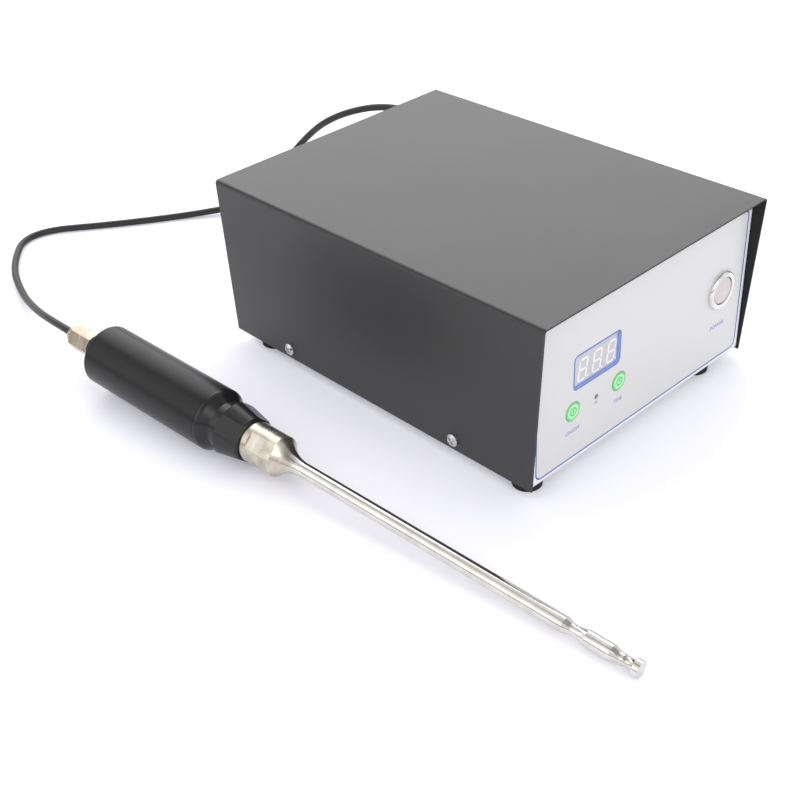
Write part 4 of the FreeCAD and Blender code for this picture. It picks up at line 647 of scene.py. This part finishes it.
def makeFanGuard(settings):
    sizes = settings["sizes"]
    sides = settings["wireSides"]
    tree, given = newTree("wireGuard", sizes)
    # rings: unit circles on one point each, scaled by their place in the row
    circle = addNode(tree, "GeometryNodeCurvePrimitiveCircle", {},
                     {"Resolution": settings["ringSteps"], "Radius": 1.0})
    row = addNode(tree, "GeometryNodePoints", {}, {}, {"Count": given["Ring Count"],
                                                       "Position": spot(tree, 0.0, 0.0, given["Ring Height"])})
    number = addNode(tree, "GeometryNodeInputIndex").outputs[0]
    reach = calculate(tree, "ADD", given["First Ring"], calculate(tree, "MULTIPLY", number, given["Ring Step"]))
    rings = addNode(tree, "GeometryNodeInstanceOnPoints", {}, {},
                    {"Points": row.outputs[0], "Instance": circle.outputs["Curve"],
                     "Scale": spot(tree, reach, reach, 1.0)})
    ringCurves = addNode(tree, "GeometryNodeRealizeInstances", {}, {}, {"Geometry": rings.outputs[0]}).outputs[0]
    ringWires = wireAlong(tree, ringCurves, given["Wire Radius"], sides)
    # spokes: a straight wire from the middle, a bent leg and a flat eye, set four times round
    straight = addNode(tree, "GeometryNodeCurvePrimitiveLine", {}, {},
                       {"Start": spot(tree, 0.0, 0.0, given["Spoke Height"]),
                        "End": spot(tree, given["Spoke Reach"], 0.0, given["Spoke Height"])})
    knee = calculate(tree, "ADD", given["Spoke Reach"], settings["kneeOut"])
    legLow = calculate(tree, "MULTIPLY", given["Eye Thickness"], settings["legSink"])
    leg = addNode(tree, "GeometryNodeCurveQuadraticBezier", {}, {"Resolution": settings["legSteps"]},
                  {"Start": spot(tree, given["Spoke Reach"], 0.0, given["Spoke Height"]),
                   "Middle": spot(tree, knee, 0.0, given["Spoke Height"]),
                   "End": spot(tree, given["Leg End"], 0.0, legLow)})
    eyeRing = addNode(tree, "GeometryNodeCurvePrimitiveCircle", {}, {"Resolution": settings["eyeSteps"]},
                      {"Radius": given["Eye Middle"]})
    eyeSection = addNode(tree, "GeometryNodeCurvePrimitiveQuadrilateral", {"mode": "RECTANGLE"}, {},
                         {"Width": given["Eye Width"], "Height": given["Eye Thickness"]})
    eye = addNode(tree, "GeometryNodeCurveToMesh", {}, {}, {"Curve": eyeRing.outputs["Curve"],
                                                            "Profile Curve": eyeSection.outputs["Curve"]})
    eyePlace = spot(tree, given["Eye Reach"], 0.0, calculate(tree, "MULTIPLY", given["Eye Thickness"], 0.5))
    eyeSet = addNode(tree, "GeometryNodeTransform", {}, {},
                     {"Geometry": eye.outputs["Mesh"], "Translation": eyePlace})
    arm = addNode(tree, "GeometryNodeJoinGeometry")
    for part in (wireAlong(tree, straight.outputs["Curve"], given["Wire Radius"], sides),
                 wireAlong(tree, leg.outputs["Curve"], given["Wire Radius"], sides), eyeSet.outputs[0]):
        tree.links.new(part, arm.inputs["Geometry"])
    corners = addNode(tree, "GeometryNodePoints", {}, {"Count": 4})
    turn = calculate(tree, "ADD", calculate(tree, "MULTIPLY", number, math.pi / 2), math.pi / 4)
    spokes = addNode(tree, "GeometryNodeInstanceOnPoints", {}, {},
                     {"Points": corners.outputs[0], "Instance": arm.outputs[0],
                      "Rotation": spot(tree, 0.0, 0.0, turn)})
    closeTree(tree, [ringWires, spokes.outputs[0]], polishedSteel)
    mesh = grownMesh("fanGuard", tree, sizes)
    for v in mesh.vertices:  # its height runs backwards from the rear panel
        v.co = place(settings["x"] - v.co.x, settings["face"] + v.co.z, settings["z"] + v.co.y)
    guard = makePiece("fanGuard", mesh, polishedSteel, "case")
    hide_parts("fan_guard")


coilSettings = {
    "halfLong": 13.2, "wireSides": 7, "cornerSteps": 4,
    "sizes": {"Wire Radius": 0.52, "Turn Pitch": 1.06, "Turn Count": 24, "Layer Count": 3, "Outer Reach": 12.85,
              "Layer Step": 0.95, "Corner": 3.0},
}


def makeCoilTurns(settings):
    sizes = settings["sizes"]
    tree, given = newTree("coilTurns", sizes)
    number = addNode(tree, "GeometryNodeInputIndex").outputs[0]
    total = calculate(tree, "MULTIPLY", given["Turn Count"], given["Layer Count"])
    points = addNode(tree, "GeometryNodePoints", {}, {}, {"Count": total})
    layer = calculate(tree, "FLOOR", calculate(tree, "DIVIDE", number, given["Turn Count"]), 0.0)
    turn = calculate(tree, "SUBTRACT", number, calculate(tree, "MULTIPLY", layer, given["Turn Count"]))
    middle = calculate(tree, "MULTIPLY", calculate(tree, "SUBTRACT", given["Turn Count"], 1.0), 0.5)
    along = calculate(tree, "MULTIPLY", calculate(tree, "SUBTRACT", turn, middle), given["Turn Pitch"])
    inward = calculate(tree, "MULTIPLY", layer, given["Layer Step"])
    reach = calculate(tree, "SUBTRACT", given["Outer Reach"], inward)
    share = calculate(tree, "DIVIDE", reach, given["Outer Reach"])
    side = calculate(tree, "MULTIPLY", given["Outer Reach"], 2.0)
    square = addNode(tree, "GeometryNodeCurvePrimitiveQuadrilateral", {"mode": "RECTANGLE"}, {},
                     {"Width": side, "Height": side})
    loop = addNode(tree, "GeometryNodeFilletCurve", {"mode": "POLY"}, {"Count": settings["cornerSteps"]},
                   {"Curve": square.outputs["Curve"], "Radius": given["Corner"]})
    turns = addNode(tree, "GeometryNodeInstanceOnPoints", {}, {},
                    {"Points": points.outputs[0], "Instance": loop.outputs["Curve"],
                     "Scale": spot(tree, share, share, 1.0)})
    moved = addNode(tree, "GeometryNodeTranslateInstances", {}, {},
                    {"Instances": turns.outputs[0], "Translation": spot(tree, 0.0, 0.0, along)})
    loops = addNode(tree, "GeometryNodeRealizeInstances", {}, {}, {"Geometry": moved.outputs[0]}).outputs[0]
    closeTree(tree, [wireAlong(tree, loops, given["Wire Radius"], settings["wireSides"])], copperWire)
    mesh = grownMesh("coilTurns", tree, sizes)
    low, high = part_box("coil_windings")
    halfLong = settings["halfLong"] / 1000
    bm = bmesh.new()
    for centreY in (low[1] + halfLong, high[1] - halfLong):  # the two coils stand one behind the other
        part = mesh.copy()
        for v in part.vertices:
            v.co = ((low[0] + high[0]) / 2 + v.co.x / 1000, centreY + v.co.z / 1000,
                    (low[2] + high[2]) / 2 - v.co.y / 1000)
        bm.from_mesh(part)
    whole = bpy.data.meshes.new("coilTurns")
    bm.to_mesh(whole)
    bm.free()
    whole.materials.append(copperWire)
    coils = makePiece("coilTurns", whole, copperWire, "case")
    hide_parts("coil_windings")


makeFanGuard(guardSettings)
makeCoilTurns(coilSettings)
print("guard and coils made")

# camera, at the photograph's viewing angle
cameraSettings = {"place": (-520.75, -489.48, 453.47), "turn": (55.315, 2.614, -44.029), "lens": 57.62, "film": 36,
                  "nearest": 0.01}


def makeCamera(settings):
    camera = bpy.data.objects.new("camera", bpy.data.cameras.new("camera"))
    bpy.context.scene.collection.objects.link(camera)
    camera.location = place(*settings["place"])
    camera.rotation_euler = [math.radians(a) for a in settings["turn"]]
    camera.data.lens = settings["lens"]
    camera.data.sensor_width = settings["film"]
    camera.data.clip_start = settings["nearest"]
    bpy.context.scene.camera = camera


makeCamera(cameraSettings)

# studio: a pale floor, broad soft lights behind, above and to the left, a weaker one from the front
lightSettings = {
    "backSoftbox": {"place": (760, 1100, 1050), "size": (2200, 1500), "power": 16},
    "leftSoftbox": {"place": (-1150, 500, 950), "size": (1200, 1500), "power": 3.0},
    "frontFill": {"place": (-500, -1400, 900), "size": (1400, 1000), "power": 8},
    "topSoftbox": {"place": (500, 550, 1700), "size": (1500, 1700), "power": 4.2},
}
lampAim = (-40, 20, 60)


def makeLights(lights):
    for name, settings in lights.items():
        lamp = bpy.data.lights.new(name, "AREA")
        lamp.shape = "RECTANGLE"
        lamp.size = settings["size"][0] / 1000
        lamp.size_y = settings["size"][1] / 1000
        lamp.energy = settings["power"]
        holder = bpy.data.objects.new(name, lamp)
        bpy.context.scene.collection.objects.link(holder)
        holder.location = place(*settings["place"])
        aim = place(*lampAim) - holder.location
        holder.rotation_euler = aim.to_track_quat("-Z", "Y").to_euler()


makeLights(lightSettings)


def seenRays(tree):  # 1 for rays from the camera, or seen in a reflection or through glass
    path = addNode(tree, "ShaderNodeLightPath").outputs
    direct = calculate(tree, "MAXIMUM", path["Is Camera Ray"], path["Is Glossy Ray"])
    return calculate(tree, "MAXIMUM", direct, path["Is Transmission Ray"])


worldSettings = {
    "light": 0.80, "tint": "#f9f8ff", "seen": 1.0,
    # what bare metal mirrors, by the height of the look: a dark line at the horizon, pale walls, a dim ceiling
    "room": ((0.0, 0.0), (0.06, 0.0), (0.10, 1.0), (0.65, 1.0), (0.76, 0.46), (1.0, 0.46)),
}


def makeWorld(settings):
    world = bpy.data.worlds.new("studio")
    bpy.context.scene.world = world
    world.use_nodes = True
    tree = world.node_tree
    tree.nodes.clear()
    strength = addNode(tree, "ShaderNodeMapRange", {}, {"To Min": settings["light"], "To Max": settings["seen"]},
                       {"Value": seenRays(tree)})
    path = addNode(tree, "ShaderNodeLightPath")
    way = addNode(tree, "ShaderNodeTexCoord").outputs["Generated"]
    height = addNode(tree, "ShaderNodeSeparateXYZ", {}, {}, {"Vector": way}).outputs["Z"]
    room = addNode(tree, "ShaderNodeValToRGB", {}, {}, {"Fac": height})
    stops = room.color_ramp.elements
    while len(stops) < len(settings["room"]):
        stops.new(0.5)
    for stop, (position, level) in zip(stops, settings["room"]):
        stop.position = position
        stop.color = (level, level, level, 1.0)
    dimmed = addNode(tree, "ShaderNodeMix", {}, {2: 1.0},
                     {0: path.outputs["Is Glossy Ray"], 3: room.outputs["Color"]})
    whole = calculate(tree, "MULTIPLY", strength.outputs["Result"], dimmed.outputs[0])
    shade = mixColours(tree, seenRays(tree), settings["tint"], "#ffffff")
    sky = addNode(tree, "ShaderNodeBackground", {}, {}, {"Color": shade, "Strength": whole})
    addNode(tree, "ShaderNodeOutputWorld", {}, {}, {"Surface": sky.outputs[0]})


# the paper glows a little for the camera, and more past the lamps' reach, so it stays white out to its edge
floorSettings = {"size": 9.0, "colour": "#ececec", "roughness": 0.9, "sheen": 0.2, "glowTint": "#eeeefd",
                 "glow": 0.24, "farGlow": 0.55, "glowRise": (0.7, 1.5)}


def makeFloor(settings):
    bm = bmesh.new()
    half = settings["size"] / 2
    corners = [bm.verts.new((x * half, y * half, 0)) for x, y in ((-1, -1), (1, -1), (1, 1), (-1, 1))]
    bm.faces.new(corners)
    mesh = bpy.data.meshes.new("paperFloor")
    bm.to_mesh(mesh)
    bm.free()
    material, tree, shader = startMaterial("whiteBackdropPaper", settings["colour"], settings["roughness"],
                                           Specular_IOR_Level=settings["sheen"])
    reach = addNode(tree, "ShaderNodeVectorMath", {"operation": "LENGTH"}, {}, {0: objectCoords(tree)})
    near, far = settings["glowRise"]
    lift = addNode(tree, "ShaderNodeMapRange", {},
                   {"From Min": near, "From Max": far, "To Min": settings["glow"], "To Max": settings["farGlow"]},
                   {"Value": reach.outputs["Value"]})
    glow = calculate(tree, "MULTIPLY", seenRays(tree), lift.outputs["Result"])
    shader.inputs["Emission Color"].default_value = colour(settings["glowTint"])
    tree.links.new(glow, shader.inputs["Emission Strength"])
    mesh.materials.append(material)
    floor = bpy.data.objects.new("paperFloor", mesh)
    bpy.context.scene.collection.objects.link(floor)


makeWorld(worldSettings)
makeFloor(floorSettings)
bpy.context.scene.view_settings.view_transform = "Standard"
print("studio lit")

bpy.context.view_layer.update()
